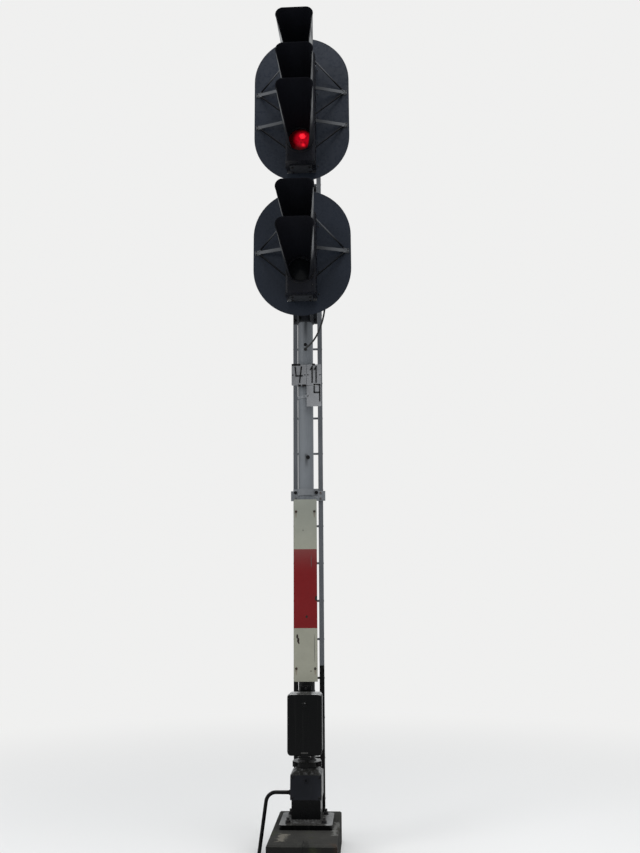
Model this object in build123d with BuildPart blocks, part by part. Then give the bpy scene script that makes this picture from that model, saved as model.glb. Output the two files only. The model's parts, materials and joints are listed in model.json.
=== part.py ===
"""Railway colour-light signal mast: concrete plinth, cast base, tube mast, ladder and two lamp heads.

Frame in millimetres: +Z up, z = 0 at the ground, the mast's axis at x = y = 0. Lamps face -Y, ladder +Y.
"""

import math
import os

from build123d import *

# Driving dimensions: plinth and anchor bolts
PLINTH_WIDTH = 550.0
PLINTH_FRONT = 665.0
PLINTH_BACK = 435.0
PLINTH_HEIGHT = 250.0
PLINTH_CHAMFER = 12.0
ANCHOR_SPACING = 300.0
ANCHOR_RADIUS = 12.0
ANCHOR_EMBEDDED = 150.0
ANCHOR_ABOVE_NUT = 22.0
NUT_HEIGHT = 19.0
NUT_ACROSS_FLATS = 36.0
WASHER_RADIUS = 24.0
WASHER_THICKNESS = 4.0

# Driving dimensions: base casting and its cover
FLANGE_SIZE = 440.0
FLANGE_THICKNESS = 38.0
FLANGE_CORNER = 30.0
FLANGE_HOLE_RADIUS = 14.0
PEDESTAL_WIDTH = 244.0
PEDESTAL_FRONT = 140.0
PEDESTAL_BACK = 130.0
PEDESTAL_FOOT_FLARE = 26.0
CHAMBER_BOTTOM = 471.0
CHAMBER_TOP = 663.0
CHAMBER_WIDTH = 262.0
CHAMBER_FRONT_LOW = 168.0
CHAMBER_FRONT_HIGH = 146.0
CHAMBER_BACK = 140.0
COVER_THICKNESS = 10.0
COVER_MARGIN = 3.0
NECK_TOP = 706.0
NECK_RADIUS = 96.0
SOCKET_DEPTH = 140.0

# Driving dimensions: mast and the clamps on it
MAST_RADIUS = 70.0
MAST_WALL = 8.0
MAST_TOP = 7170.0
CLAMP_GAP = 0.2
CAP_HEIGHT = 34.0
CAP_LIP = 30.0
CAP_WALL = 4.0
CAP_FLAT_RADIUS = 30.0
SOCKET_CLAMP_HEIGHT = 45.0
SOCKET_CLAMP_WALL = 20.0
SOCKET_CLAMP_SPAN = 246.0
CLAMP_SPLIT = 4.0
CLAMP_EAR_THICKNESS = 14.0

# Driving dimensions: cable box with a cover hinged along its lower edge
BOX_WIDTH = 285.0
BOX_BOTTOM = 841.0
BOX_HEIGHT = 490.0
BOX_BACK = 110.0
BOX_DEPTH = 152.0
BOX_WALL = 4.0
BOX_CORNER = 30.0
COVER_DEPTH = 37.5
COVER_WALL = 3.5
COVER_SEAM = 0.5
HINGE_DROP = 6.0
HINGE_FORWARD = 4.0
HINGE_RADIUS = 8.0
HINGE_PIN_RADIUS = 4.0
HINGE_CLEARANCE = 0.1
HINGE_KNUCKLE_WIDTH = 60.0
HINGE_EAR_WIDTH = 16.0
HINGE_SIDE_GAP = 1.0
LOCK_RADIUS = 21.0
LOCK_THICKNESS = 14.0
LOCK_BELOW_TOP = 90.0
BOX_LUG_WIDTH = 90.0
BOX_LUG_RISE = 45.0

# Driving dimensions: striped board
BOARD_WIDTH = 204.0
BOARD_BOTTOM = 1413.0
BOARD_HEIGHT = 1559.0
BOARD_FRONT = 120.0
BOARD_THICKNESS = 2.5
BOARD_BOLT_INSET = 108.0
BAR_HEIGHT = 40.0
BAR_THICKNESS = 5.0
BAND_WALL = 3.0
BAND_EAR_REACH = 26.0
BAND_EAR_WIDTH = 24.0
SPACER_WIDTH = 34.0

# Driving dimensions: ladder
LADDER_WIDTH = 275.0
LADDER_FRONT = 283.0
LADDER_BELOW_MAST_TOP = 170.0
STILE_SIZE = 42.0
STILE_WALL = 5.0
RUNG_RADIUS = 10.0
RUNG_PITCH = 340.0
RUNG_FIRST = 385.0
RUNG_END_MARGIN = 60.0
FOOT_SIZE = 64.0
FOOT_THICKNESS = 8.0
LADDER_CLAMP_ABOVE_BOARD = 72.0
LADDER_CLAMP_ABOVE_HEAD = 139.0
LADDER_CLAMP_BELOW_END = 95.0
LADDER_PLATE_WIDTH = 320.0
LADDER_PLATE_HEIGHT = 92.0
LADDER_PLATE_THICKNESS = 8.0
LADDER_ARM_WIDTH = 60.0
LADDER_BAND_HEIGHT = 60.0
LADDER_BAND_WALL = 6.0

# Driving dimensions: designation plates
PLATE_FRONT = 100.0
PLATE_THICKNESS = 3.0
PLATE_WIDTH = 134.0
PLATE_HEIGHT = 194.0
PLATE_GAP = 3.0
PLATES_LEFT = -121.0
PLATES_BELOW_LENS = 728.0
STRAP_HEIGHT = 26.0

# Driving dimensions: conduit at the base
CONDUIT_RADIUS = 16.0
CONDUIT_WALL = 3.0
CONDUIT_EXIT_HEIGHT = 497.0
CONDUIT_CORNER_X = -340.0
CONDUIT_FOOT_X = -408.0
CONDUIT_BEND = 85.0
CONDUIT_COLLAR_RADIUS = 25.0
CONDUIT_COLLAR_LENGTH = 12.0

# Driving dimensions: lamp heads
LENS_PITCH = 330.0
UPPER_LENS_COUNT = 3
LOWER_LENS_COUNT = 2
SADDLE_BELOW_CAP = 1.7
HEAD_STEP = 902.0
HOUSING_WIDTH = 264.0
HOUSING_FRONT = 600.0
HOUSING_BACK = 260.0
HOUSING_END = 205.0
RIB_WIDTH = 16.0
RIB_THICKNESS = 5.0
RIB_BACK = 404.0
HOUSING_CORNER = 22.0
LENS_RADIUS = 104.0
LENS_GAP = 0.5
LENS_RECESS = 26.0
LENS_THICKNESS = 12.0
LENS_CROWN = 12.0
HOOD_LENGTH = 620.0
HOOD_BASE = 244.0
HOOD_TIP_WIDTH = 318.0
HOOD_TIP_RISE = 218.0
HOOD_TIP_DROP = 70.0
HOOD_TIP_CORNER = 62.0
HOOD_WALL = 3.0
HOOD_RING_WIDTH = 8.0
HOOD_RING_THICKNESS = 6.0
HOOD_OPEN_DROP = 100.0
HOOD_TIP_SIDE = 92.0
HOOD_BASE_FLAT = 16.0
HOOD_BASE_SIDE = 10.0
HOOD_LEAN = 30.0
HOOD_FLATS = 6
DOOR_WIDTH = 244.0
DOOR_HEIGHT = 308.0
DOOR_THICKNESS = 16.0
DOOR_CORNER = 24.0
DOOR_HINGE_RADIUS = 8.0
DOOR_HINGE_LENGTH = 52.0
DOOR_HINGE_SPACING = 190.0
DOOR_LATCH_SIZE = 34.0
DOOR_LATCH_THICKNESS = 12.0

# Driving dimensions: backboards and their stays
BACKBOARD_FRONT = 380.0
BACKBOARD_THICKNESS = 3.0
BACKBOARD_WIDTH = 880.0
UPPER_BOARD_MARGINS = (295.0, 495.0)
LOWER_BOARD_MARGINS = (350.0, 512.0)
BACKBOARD_CLEARANCE = 0.3
STAY_INSET = 38.0
STAY_PAD = 44.0
STAY_PAD_THICKNESS = 5.0
STAY_BAR_WIDTH = 30.0
STAY_BAR_THICKNESS = 6.0
STAY_ROD_RADIUS = 7.0
STAY_REACH = 110.0
STAY_SINK = 20.0
STAY_RISE = 287.0
STAY_ABOVE_LENS = 247.0
UPPER_STAY_SLOPES = ((-1,), (1, -1))
LOWER_STAY_SLOPES = ((1, -1),)

# Driving dimensions: head brackets
TONGUE_WIDTH = 200.0
TONGUE_THICKNESS = 12.0
TONGUE_REACH = 520.0
SADDLE_HEIGHT = 140.0
SADDLE_WALL = 12.0
SADDLE_SPAN = 222.0
GUSSET_THICKNESS = 8.0
GUSSET_OFFSET = 55.0

# Driving dimensions: cable from the lower head into the mast
CABLE_RADIUS = 8.0
CABLE_POINTS = (
    (160.0, -300.0, 4834.0),
    (197.0, -297.0, 4778.0),
    (198.0, -280.0, 4676.0),
    (170.0, -250.0, 4556.0),
    (120.0, -205.0, 4450.0),
    (58.0, -150.0, 4384.0),
    (14.0, -112.0, 4366.0),
    (3.0, -64.0, 4361.0),
)
CABLE_HOLE_RADIUS = 11.0
GLAND_RADIUS = 15.0

# Sizes worked out from the driving dimensions
FLANGE_TOP = PLINTH_HEIGHT + FLANGE_THICKNESS
CLAMP_RADIUS = MAST_RADIUS + CLAMP_GAP
BOX_TOP = BOX_BOTTOM + BOX_HEIGHT
BOX_CENTRE_Z = BOX_BOTTOM + BOX_HEIGHT / 2
BOX_FRONT = BOX_BACK + BOX_DEPTH
COVER_BACK = BOX_FRONT + COVER_SEAM
COVER_FRONT = COVER_BACK + COVER_DEPTH
HINGE_Y = -(COVER_FRONT + HINGE_FORWARD)
HINGE_Z = BOX_BOTTOM - HINGE_DROP
BOARD_TOP = BOARD_BOTTOM + BOARD_HEIGHT
BOARD_BACK = BOARD_FRONT - BOARD_THICKNESS
BOARD_BAR_HEIGHTS = (BOARD_BOTTOM + BOARD_BOLT_INSET, BOARD_TOP - BOARD_BOLT_INSET)
PLATE_BACK = PLATE_FRONT - PLATE_THICKNESS
SADDLE_OVER_TONGUE = SADDLE_HEIGHT * 2 / 3
UPPER_HOUSING_TOP = MAST_TOP - CAP_LIP - SADDLE_BELOW_CAP - SADDLE_OVER_TONGUE - TONGUE_THICKNESS
UPPER_HIGHEST_LENS = UPPER_HOUSING_TOP - HOUSING_END
UPPER_LOWEST_LENS = UPPER_HIGHEST_LENS - LENS_PITCH * (UPPER_LENS_COUNT - 1)
LOWER_HIGHEST_LENS = UPPER_LOWEST_LENS - HEAD_STEP
LOWER_LOWEST_LENS = LOWER_HIGHEST_LENS - LENS_PITCH * (LOWER_LENS_COUNT - 1)
UPPER_LENSES = [UPPER_LOWEST_LENS + LENS_PITCH * i for i in range(UPPER_LENS_COUNT)]
LOWER_LENSES = [LOWER_LOWEST_LENS + LENS_PITCH * i for i in range(LOWER_LENS_COUNT)]
PLATES_TOP = LOWER_LOWEST_LENS - PLATES_BELOW_LENS
LADDER_TOP = MAST_TOP - LADDER_BELOW_MAST_TOP
LADDER_CLAMP_HEIGHTS = (
    BOARD_TOP + LADDER_CLAMP_ABOVE_BOARD,
    LOWER_HIGHEST_LENS + HOUSING_END + LADDER_CLAMP_ABOVE_HEAD,
    LADDER_TOP - LADDER_CLAMP_BELOW_END,
)
RUNG_COUNT = int((LADDER_TOP - RUNG_END_MARGIN - RUNG_FIRST) // RUNG_PITCH) + 1

PARTS = "parts"
os.makedirs(PARTS, exist_ok=True)


def save(builder, label):
    """Label the finished piece and write it as its own STEP file."""
    builder.part.label = label
    export_step(builder.part, os.path.join(PARTS, label + ".step"))


def block(x_range, y_range, z_range, mode=Mode.ADD):
    """A plain block between two values on each axis, added to the open part."""
    centre = [(low + high) / 2 for low, high in (x_range, y_range, z_range)]
    size = [high - low for low, high in (x_range, y_range, z_range)]
    with Locations(Location(tuple(centre))):
        Box(*size, mode=mode)


def ring(inner, outer, bottom, height, mode=Mode.ADD):
    """A round band about the mast's axis."""
    with BuildSketch(Plane.XY.offset(bottom)) as section:
        Circle(outer)
        Circle(inner, mode=Mode.SUBTRACT)
    extrude(section.sketch, amount=height, mode=mode)


def band(bottom, height):
    """A thin band round the mast, closed by two ears at the back."""
    ring(CLAMP_RADIUS, CLAMP_RADIUS + BAND_WALL, bottom, height)
    half = BAND_EAR_WIDTH / 2
    split = CLAMP_SPLIT / 2
    ear_root = CLAMP_RADIUS + BAND_WALL / 2
    block((-half, half), (ear_root, CLAMP_RADIUS + BAND_EAR_REACH), (bottom, bottom + height))
    block((-split, split), (MAST_RADIUS / 2, MAST_RADIUS * 2), (bottom, bottom + height), Mode.SUBTRACT)


def mast_hole(bottom, height):
    """The space that the mast takes, with the clamps' gap round it."""
    with BuildSketch(Plane.XY.offset(bottom)) as section:
        Circle(CLAMP_RADIUS)
    extrude(section.sketch, amount=height, mode=Mode.SUBTRACT)


def rod(start, end, radius, mode=Mode.ADD):
    """A round rod between two points."""
    run = Vector(*end) - Vector(*start)
    with BuildSketch(Plane(origin=start, z_dir=tuple(run))) as section:
        Circle(radius)
    extrude(section.sketch, amount=run.length, mode=mode)


def make_plinth():
    half = PLINTH_WIDTH / 2
    with BuildPart() as plinth:
        block((-half, half), (-PLINTH_FRONT, PLINTH_BACK), (0, PLINTH_HEIGHT))
        top_edges = plinth.faces().sort_by(Axis.Z)[-1].edges()
        chamfer(top_edges, PLINTH_CHAMFER)
        with Locations((0, 0, PLINTH_HEIGHT)):
            with GridLocations(ANCHOR_SPACING, ANCHOR_SPACING, 2, 2):
                Hole(ANCHOR_RADIUS + CLAMP_GAP, depth=ANCHOR_EMBEDDED)
    save(plinth, "plinth")


def make_anchor_bolts():
    nut_bottom = FLANGE_TOP + WASHER_THICKNESS
    stud_bottom = PLINTH_HEIGHT - ANCHOR_EMBEDDED
    stud_top = nut_bottom + NUT_HEIGHT + ANCHOR_ABOVE_NUT
    with BuildPart() as anchor_bolts:
        with BuildSketch(Plane.XY.offset(stud_bottom)):
            with GridLocations(ANCHOR_SPACING, ANCHOR_SPACING, 2, 2):
                Circle(ANCHOR_RADIUS)
        extrude(amount=stud_top - stud_bottom)
        with BuildSketch(Plane.XY.offset(FLANGE_TOP)):
            with GridLocations(ANCHOR_SPACING, ANCHOR_SPACING, 2, 2):
                Circle(WASHER_RADIUS)
        extrude(amount=WASHER_THICKNESS)
        with BuildSketch(Plane.XY.offset(nut_bottom)):
            with GridLocations(ANCHOR_SPACING, ANCHOR_SPACING, 2, 2):
                RegularPolygon(NUT_ACROSS_FLATS / 2, 6, major_radius=False)
        extrude(amount=NUT_HEIGHT)
    save(anchor_bolts, "anchor_bolts")


def make_base_casting():
    socket_floor = NECK_TOP - SOCKET_DEPTH
    with BuildPart() as base_casting:
        with BuildSketch(Plane.XY.offset(PLINTH_HEIGHT)):
            RectangleRounded(FLANGE_SIZE, FLANGE_SIZE, FLANGE_CORNER)
            with GridLocations(ANCHOR_SPACING, ANCHOR_SPACING, 2, 2):
                Circle(FLANGE_HOLE_RADIUS, mode=Mode.SUBTRACT)
        extrude(amount=FLANGE_THICKNESS)
        with BuildSketch(Plane.YZ):
            with BuildLine():
                Polyline(
                    (-PEDESTAL_FRONT - PEDESTAL_FOOT_FLARE, FLANGE_TOP - 1),
                    (-PEDESTAL_FRONT, FLANGE_TOP + PEDESTAL_FOOT_FLARE),
                    (-PEDESTAL_FRONT, CHAMBER_BOTTOM - PEDESTAL_FOOT_FLARE),
                    (-PEDESTAL_FRONT, CHAMBER_BOTTOM + 1),
                    (PEDESTAL_BACK, CHAMBER_BOTTOM + 1),
                    (PEDESTAL_BACK, FLANGE_TOP + PEDESTAL_FOOT_FLARE),
                    (PEDESTAL_BACK + PEDESTAL_FOOT_FLARE, FLANGE_TOP - 1),
                    close=True,
                )
            make_face()
        extrude(amount=PEDESTAL_WIDTH / 2, both=True)
        with BuildSketch(Plane.YZ):
            with BuildLine():
                Polyline(
                    (-CHAMBER_FRONT_LOW, CHAMBER_BOTTOM),
                    (-CHAMBER_FRONT_HIGH, CHAMBER_TOP),
                    (CHAMBER_BACK, CHAMBER_TOP),
                    (CHAMBER_BACK, CHAMBER_BOTTOM),
                    close=True,
                )
            make_face()
        extrude(amount=CHAMBER_WIDTH / 2, both=True)
        shoulder_depth = CHAMBER_FRONT_HIGH + CHAMBER_BACK
        with BuildSketch(Plane.XY.offset(CHAMBER_TOP)):
            with Locations((0, (CHAMBER_BACK - CHAMBER_FRONT_HIGH) / 2)):
                RectangleRounded(CHAMBER_WIDTH, shoulder_depth, FLANGE_CORNER / 2)
        with BuildSketch(Plane.XY.offset(NECK_TOP)):
            Circle(NECK_RADIUS)
        loft()
        with BuildSketch(Plane.XY.offset(socket_floor)):
            Circle(CLAMP_RADIUS)
        extrude(amount=SOCKET_DEPTH, mode=Mode.SUBTRACT)
    save(base_casting, "base_casting")


def make_base_cover():
    """The plate on the casting's sloping front, with a round lock boss."""
    slope = math.atan2(CHAMBER_FRONT_LOW - CHAMBER_FRONT_HIGH, CHAMBER_TOP - CHAMBER_BOTTOM)
    height = math.hypot(CHAMBER_FRONT_LOW - CHAMBER_FRONT_HIGH, CHAMBER_TOP - CHAMBER_BOTTOM)
    middle = (0, -(CHAMBER_FRONT_LOW + CHAMBER_FRONT_HIGH) / 2, (CHAMBER_TOP + CHAMBER_BOTTOM) / 2)
    face = Plane(origin=middle, x_dir=(1, 0, 0), z_dir=(0, -math.cos(slope), math.sin(slope)))
    lock_up = height / 2 - 42.0
    with BuildPart() as base_cover:
        with BuildSketch(face):
            RectangleRounded(CHAMBER_WIDTH - COVER_MARGIN, height - COVER_MARGIN, COVER_THICKNESS)
        extrude(amount=COVER_THICKNESS)
        outer = face.offset(COVER_THICKNESS)
        with BuildSketch(outer):
            with Locations((0, lock_up)):
                Circle(LOCK_RADIUS)
        extrude(amount=LOCK_THICKNESS / 2)
        with BuildSketch(outer.offset(LOCK_THICKNESS / 2)):
            with Locations((0, lock_up)):
                Circle(LOCK_RADIUS / 2)
        extrude(amount=-LOCK_THICKNESS, mode=Mode.SUBTRACT)
    save(base_cover, "base_cover")


def clamp_halves(bottom, height, wall, span, ear):
    """Two half rings about the mast with flat ears to left and right."""
    half_split = CLAMP_SPLIT / 2
    ring(CLAMP_RADIUS, MAST_RADIUS + wall, bottom, height)
    block((-span / 2, span / 2), (-ear - half_split, ear + half_split), (bottom, bottom + height))
    block((-span, span), (-half_split, half_split), (bottom, bottom + height), Mode.SUBTRACT)
    mast_hole(bottom, height)


def make_socket_clamp():
    with BuildPart() as socket_clamp:
        clamp_halves(
            NECK_TOP, SOCKET_CLAMP_HEIGHT, SOCKET_CLAMP_WALL, SOCKET_CLAMP_SPAN, CLAMP_EAR_THICKNESS
        )
    save(socket_clamp, "socket_clamp")


def make_mast():
    bottom = NECK_TOP - SOCKET_DEPTH
    with BuildPart() as mast_tube:
        ring(MAST_RADIUS - MAST_WALL, MAST_RADIUS, bottom, MAST_TOP - bottom)
        end_x, _, end_z = CABLE_POINTS[-1]
        rod((end_x, 0, end_z), (end_x, -MAST_RADIUS * 2, end_z), CABLE_HOLE_RADIUS, Mode.SUBTRACT)
    save(mast_tube, "mast_tube")
    with BuildPart() as mast_cap:
        with BuildSketch(Plane.XZ):
            with BuildLine():
                outer = MAST_RADIUS + CAP_WALL
                Polyline(
                    (0, MAST_TOP + CAP_HEIGHT),
                    (CAP_FLAT_RADIUS, MAST_TOP + CAP_HEIGHT),
                    (outer, MAST_TOP + CAP_WALL),
                    (outer, MAST_TOP - CAP_LIP),
                    (CLAMP_RADIUS, MAST_TOP - CAP_LIP),
                    (CLAMP_RADIUS, MAST_TOP),
                    (0, MAST_TOP),
                    close=True,
                )
            make_face()
        revolve(axis=Axis.Z)
    save(mast_cap, "mast_cap")


def make_cable_box():
    """Open-fronted case, with two ears that carry the cover's hinge pin."""
    ear_inside = HINGE_KNUCKLE_WIDTH / 2 + HINGE_SIDE_GAP
    ear_centre = ear_inside + HINGE_EAR_WIDTH / 2
    with BuildPart() as cable_box:
        with BuildSketch(Plane.XZ.offset(BOX_BACK)):
            with Locations((0, BOX_CENTRE_Z)):
                RectangleRounded(BOX_WIDTH, BOX_HEIGHT, BOX_CORNER)
        extrude(amount=BOX_DEPTH)
        with BuildSketch(Plane.XZ.offset(BOX_BACK + BOX_WALL)):
            with Locations((0, BOX_CENTRE_Z)):
                RectangleRounded(
                    BOX_WIDTH - 2 * BOX_WALL, BOX_HEIGHT - 2 * BOX_WALL, BOX_CORNER - BOX_WALL
                )
        extrude(amount=BOX_DEPTH, mode=Mode.SUBTRACT)
        for side in (-1, 1):
            with BuildSketch(Plane.YZ.offset(side * ear_centre)):
                with Locations((HINGE_Y, HINGE_Z)):
                    Circle(HINGE_RADIUS)
                with BuildLine():
                    Polyline(
                        (HINGE_Y, HINGE_Z - HINGE_RADIUS),
                        (-BOX_FRONT + BOX_WALL, BOX_BOTTOM - HINGE_RADIUS - HINGE_DROP),
                        (-BOX_FRONT + BOX_WALL * 10, BOX_BOTTOM),
                        (-BOX_FRONT, BOX_BOTTOM),
                        (-BOX_FRONT, BOX_BOTTOM - 1),
                        (HINGE_Y, BOX_BOTTOM - 1),
                        close=True,
                    )
                make_face()
                with Locations((HINGE_Y, HINGE_Z)):
                    Circle(HINGE_PIN_RADIUS + HINGE_CLEARANCE, mode=Mode.SUBTRACT)
            extrude(amount=HINGE_EAR_WIDTH / 2, both=True)
    save(cable_box, "cable_box")


def make_box_cover():
    """Dished cover with the hinge knuckle and its pin along the lower edge."""
    half_pin = HINGE_KNUCKLE_WIDTH / 2 + HINGE_SIDE_GAP + HINGE_EAR_WIDTH + 3.0
    with BuildPart() as box_cover:
        with BuildSketch(Plane.XZ.offset(COVER_BACK)):
            with Locations((0, BOX_CENTRE_Z)):
                RectangleRounded(BOX_WIDTH, BOX_HEIGHT, BOX_CORNER)
        extrude(amount=COVER_DEPTH)
        front = box_cover.faces().sort_by(Axis.Y)[0]
        fillet(front.edges(), COVER_DEPTH / 3)
        with BuildSketch(Plane.XZ.offset(COVER_BACK)):
            with Locations((0, BOX_CENTRE_Z)):
                RectangleRounded(
                    BOX_WIDTH - 2 * COVER_WALL,
                    BOX_HEIGHT - 2 * COVER_WALL,
                    BOX_CORNER - COVER_WALL,
                )
        extrude(amount=COVER_DEPTH - COVER_WALL * 3, mode=Mode.SUBTRACT)
        with BuildSketch(Plane.YZ):
            with Locations((HINGE_Y, HINGE_Z)):
                Circle(HINGE_RADIUS)
            with BuildLine():
                Polyline(
                    (HINGE_Y - HINGE_RADIUS, HINGE_Z),
                    (HINGE_Y - HINGE_RADIUS, BOX_BOTTOM + 20),
                    (-COVER_FRONT + 1, BOX_BOTTOM + 30),
                    (-COVER_FRONT + 1, BOX_BOTTOM + 14),
                    (-COVER_FRONT + 14, BOX_BOTTOM + 1),
                    (-COVER_FRONT + 14, BOX_BOTTOM - 1),
                    (HINGE_Y + HINGE_RADIUS, HINGE_Z),
                    close=True,
                )
            make_face()
        extrude(amount=HINGE_KNUCKLE_WIDTH / 2, both=True)
        rod((-half_pin, HINGE_Y, HINGE_Z), (half_pin, HINGE_Y, HINGE_Z), HINGE_PIN_RADIUS)
    save(box_cover, "box_cover")
    with BuildPart() as box_lock:
        with BuildSketch(Plane.XZ.offset(COVER_FRONT)):
            with Locations((0, BOX_TOP - LOCK_BELOW_TOP)):
                Circle(LOCK_RADIUS)
        extrude(amount=LOCK_THICKNESS)
        chamfer(box_lock.faces().sort_by(Axis.Y)[0].edges(), LOCK_THICKNESS / 4)
    save(box_lock, "box_lock")


def make_box_bracket():
    """Two bands on the mast with blocks that carry the box; the upper one rises as a lug."""
    lower = BOX_BOTTOM + BAR_HEIGHT
    upper = BOX_TOP - BAR_HEIGHT
    with BuildPart() as box_bracket:
        for bottom, height in ((lower, BAR_HEIGHT), (upper, BAR_HEIGHT + BOX_LUG_RISE)):
            band(bottom, BAR_HEIGHT)
            half = BOX_LUG_WIDTH / 2
            block((-half, half), (-BOX_BACK, 0), (bottom, bottom + height))
            mast_hole(bottom, height)
    save(box_bracket, "box_bracket")


def make_striped_board():
    half = BOARD_WIDTH / 2
    with BuildPart() as striped_board:
        block((-half, half), (-BOARD_FRONT, -BOARD_BACK), (BOARD_BOTTOM, BOARD_TOP))
        corners = striped_board.edges().filter_by(Axis.Y)
        fillet(corners, BAR_THICKNESS)
    save(striped_board, "striped_board")
    bar_half = half - BAR_THICKNESS
    with BuildPart() as board_brackets:
        for centre in BOARD_BAR_HEIGHTS:
            bottom = centre - BAR_HEIGHT / 2
            band(bottom, BAR_HEIGHT)
            block(
                (-SPACER_WIDTH / 2, SPACER_WIDTH / 2), (-BOARD_BACK, 0), (bottom, bottom + BAR_HEIGHT)
            )
            block(
                (-bar_half, bar_half),
                (-BOARD_BACK, -BOARD_BACK + BAR_THICKNESS),
                (bottom, bottom + BAR_HEIGHT),
            )
            mast_hole(bottom, BAR_HEIGHT)
    save(board_brackets, "board_brackets")


def make_ladder():
    outer = LADDER_WIDTH / 2
    web_centre = outer - STILE_WALL / 2
    flange_centre = outer - STILE_SIZE / 2
    middle_y = LADDER_FRONT + STILE_SIZE / 2
    for side, label in ((-1, "ladder_stile_left"), (1, "ladder_stile_right")):
        with BuildPart() as stile:
            with BuildSketch(Plane.XY.offset(PLINTH_HEIGHT)):
                with Locations((side * web_centre, middle_y)):
                    Rectangle(STILE_WALL, STILE_SIZE)
                with Locations((side * flange_centre, LADDER_FRONT + STILE_WALL / 2)):
                    Rectangle(STILE_SIZE, STILE_WALL)
            extrude(amount=LADDER_TOP - PLINTH_HEIGHT)
            with BuildSketch(Plane.XY.offset(PLINTH_HEIGHT)):
                with Locations((side * flange_centre, middle_y)):
                    RectangleRounded(FOOT_SIZE, FOOT_SIZE, FOOT_THICKNESS)
            extrude(amount=FOOT_THICKNESS)
        save(stile, label)
    rung_half = outer - STILE_WALL
    with BuildPart() as ladder_rungs:
        with BuildSketch(Plane.YZ):
            for i in range(RUNG_COUNT):
                with Locations((middle_y + STILE_WALL / 2, RUNG_FIRST + i * RUNG_PITCH)):
                    Circle(RUNG_RADIUS)
        extrude(amount=rung_half, both=True)
    save(ladder_rungs, "ladder_rungs")


def make_ladder_clamps():
    """Bands round the mast, each with an arm back to a wide plate on the stiles."""
    plate_half = LADDER_PLATE_WIDTH / 2
    arm_half = LADDER_ARM_WIDTH / 2
    plate_front = LADDER_FRONT - LADDER_PLATE_THICKNESS
    with BuildPart() as ladder_clamps:
        for centre in LADDER_CLAMP_HEIGHTS:
            bottom = centre - LADDER_BAND_HEIGHT / 2
            clamp_halves(bottom, LADDER_BAND_HEIGHT, LADDER_BAND_WALL, SADDLE_SPAN, BAR_THICKNESS)
            block(
                (-arm_half, arm_half),
                (MAST_RADIUS, plate_front + 1),
                (centre - BAR_THICKNESS, centre + BAR_THICKNESS),
            )
            block(
                (-plate_half, plate_half),
                (plate_front, LADDER_FRONT),
                (centre - LADDER_PLATE_HEIGHT / 2, centre + LADDER_PLATE_HEIGHT / 2),
            )
            mast_hole(bottom, LADDER_BAND_HEIGHT)
    save(ladder_clamps, "ladder_clamps")


def make_plates():
    """Three bare designation plates on two straps round the mast."""
    step_x = PLATE_WIDTH + PLATE_GAP
    step_z = PLATE_HEIGHT + PLATE_GAP
    places = (
        ("number_plate_left", PLATES_LEFT, PLATES_TOP),
        ("number_plate_right", PLATES_LEFT + step_x, PLATES_TOP),
        ("number_plate_lower", PLATES_LEFT + step_x, PLATES_TOP - step_z),
    )
    for label, left, top in places:
        with BuildPart() as plate:
            block((left, left + PLATE_WIDTH), (-PLATE_FRONT, -PLATE_BACK), (top - PLATE_HEIGHT, top))
            fillet(plate.edges().filter_by(Axis.Y), BAR_THICKNESS)
        save(plate, label)
    bars = (
        (PLATES_TOP - PLATE_HEIGHT / 2, PLATES_LEFT + PLATE_THICKNESS * 2),
        (PLATES_TOP - step_z - PLATE_HEIGHT / 2, PLATES_LEFT + step_x + PLATE_THICKNESS * 2),
    )
    right = PLATES_LEFT + step_x + PLATE_WIDTH - PLATE_THICKNESS * 2
    with BuildPart() as plate_straps:
        for centre, left in bars:
            bottom = centre - STRAP_HEIGHT / 2
            band(bottom, STRAP_HEIGHT)
            block((0, SPACER_WIDTH), (-PLATE_BACK, 0), (bottom, bottom + STRAP_HEIGHT))
            block((left, right), (-PLATE_BACK, -PLATE_BACK + BAND_WALL), (bottom, bottom + STRAP_HEIGHT))
            mast_hole(bottom, STRAP_HEIGHT)
    save(plate_straps, "plate_straps")


def conduit_foot(z):
    """The point at height z on the line of the conduit's leaning run."""
    lean = (CONDUIT_FOOT_X - CONDUIT_CORNER_X) / CONDUIT_EXIT_HEIGHT
    return (CONDUIT_FOOT_X - lean * z, 0, z)


def make_conduit():
    exit_x = -CHAMBER_WIDTH / 2
    with BuildPart() as conduit_pipe:
        with BuildLine() as route:
            FilletPolyline(
                (exit_x, 0, CONDUIT_EXIT_HEIGHT),
                (CONDUIT_CORNER_X, 0, CONDUIT_EXIT_HEIGHT),
                conduit_foot(-CONDUIT_RADIUS),
                radius=CONDUIT_BEND,
            )
        with BuildSketch(Plane(origin=(exit_x, 0, CONDUIT_EXIT_HEIGHT), z_dir=(-1, 0, 0))):
            Circle(CONDUIT_RADIUS)
            Circle(CONDUIT_RADIUS - CONDUIT_WALL, mode=Mode.SUBTRACT)
        sweep(path=route.line)
        collar = Plane(origin=(exit_x, 0, CONDUIT_EXIT_HEIGHT), z_dir=(-1, 0, 0))
        with BuildSketch(collar):
            RegularPolygon(CONDUIT_COLLAR_RADIUS, 6)
            Circle(CONDUIT_RADIUS, mode=Mode.SUBTRACT)
        extrude(amount=CONDUIT_COLLAR_LENGTH)
        block(
            (CONDUIT_FOOT_X * 2, 0),
            (-CONDUIT_RADIUS * 2, CONDUIT_RADIUS * 2),
            (-CONDUIT_RADIUS * 4, 0),
            Mode.SUBTRACT,
        )
    save(conduit_pipe, "conduit_pipe")


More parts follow.
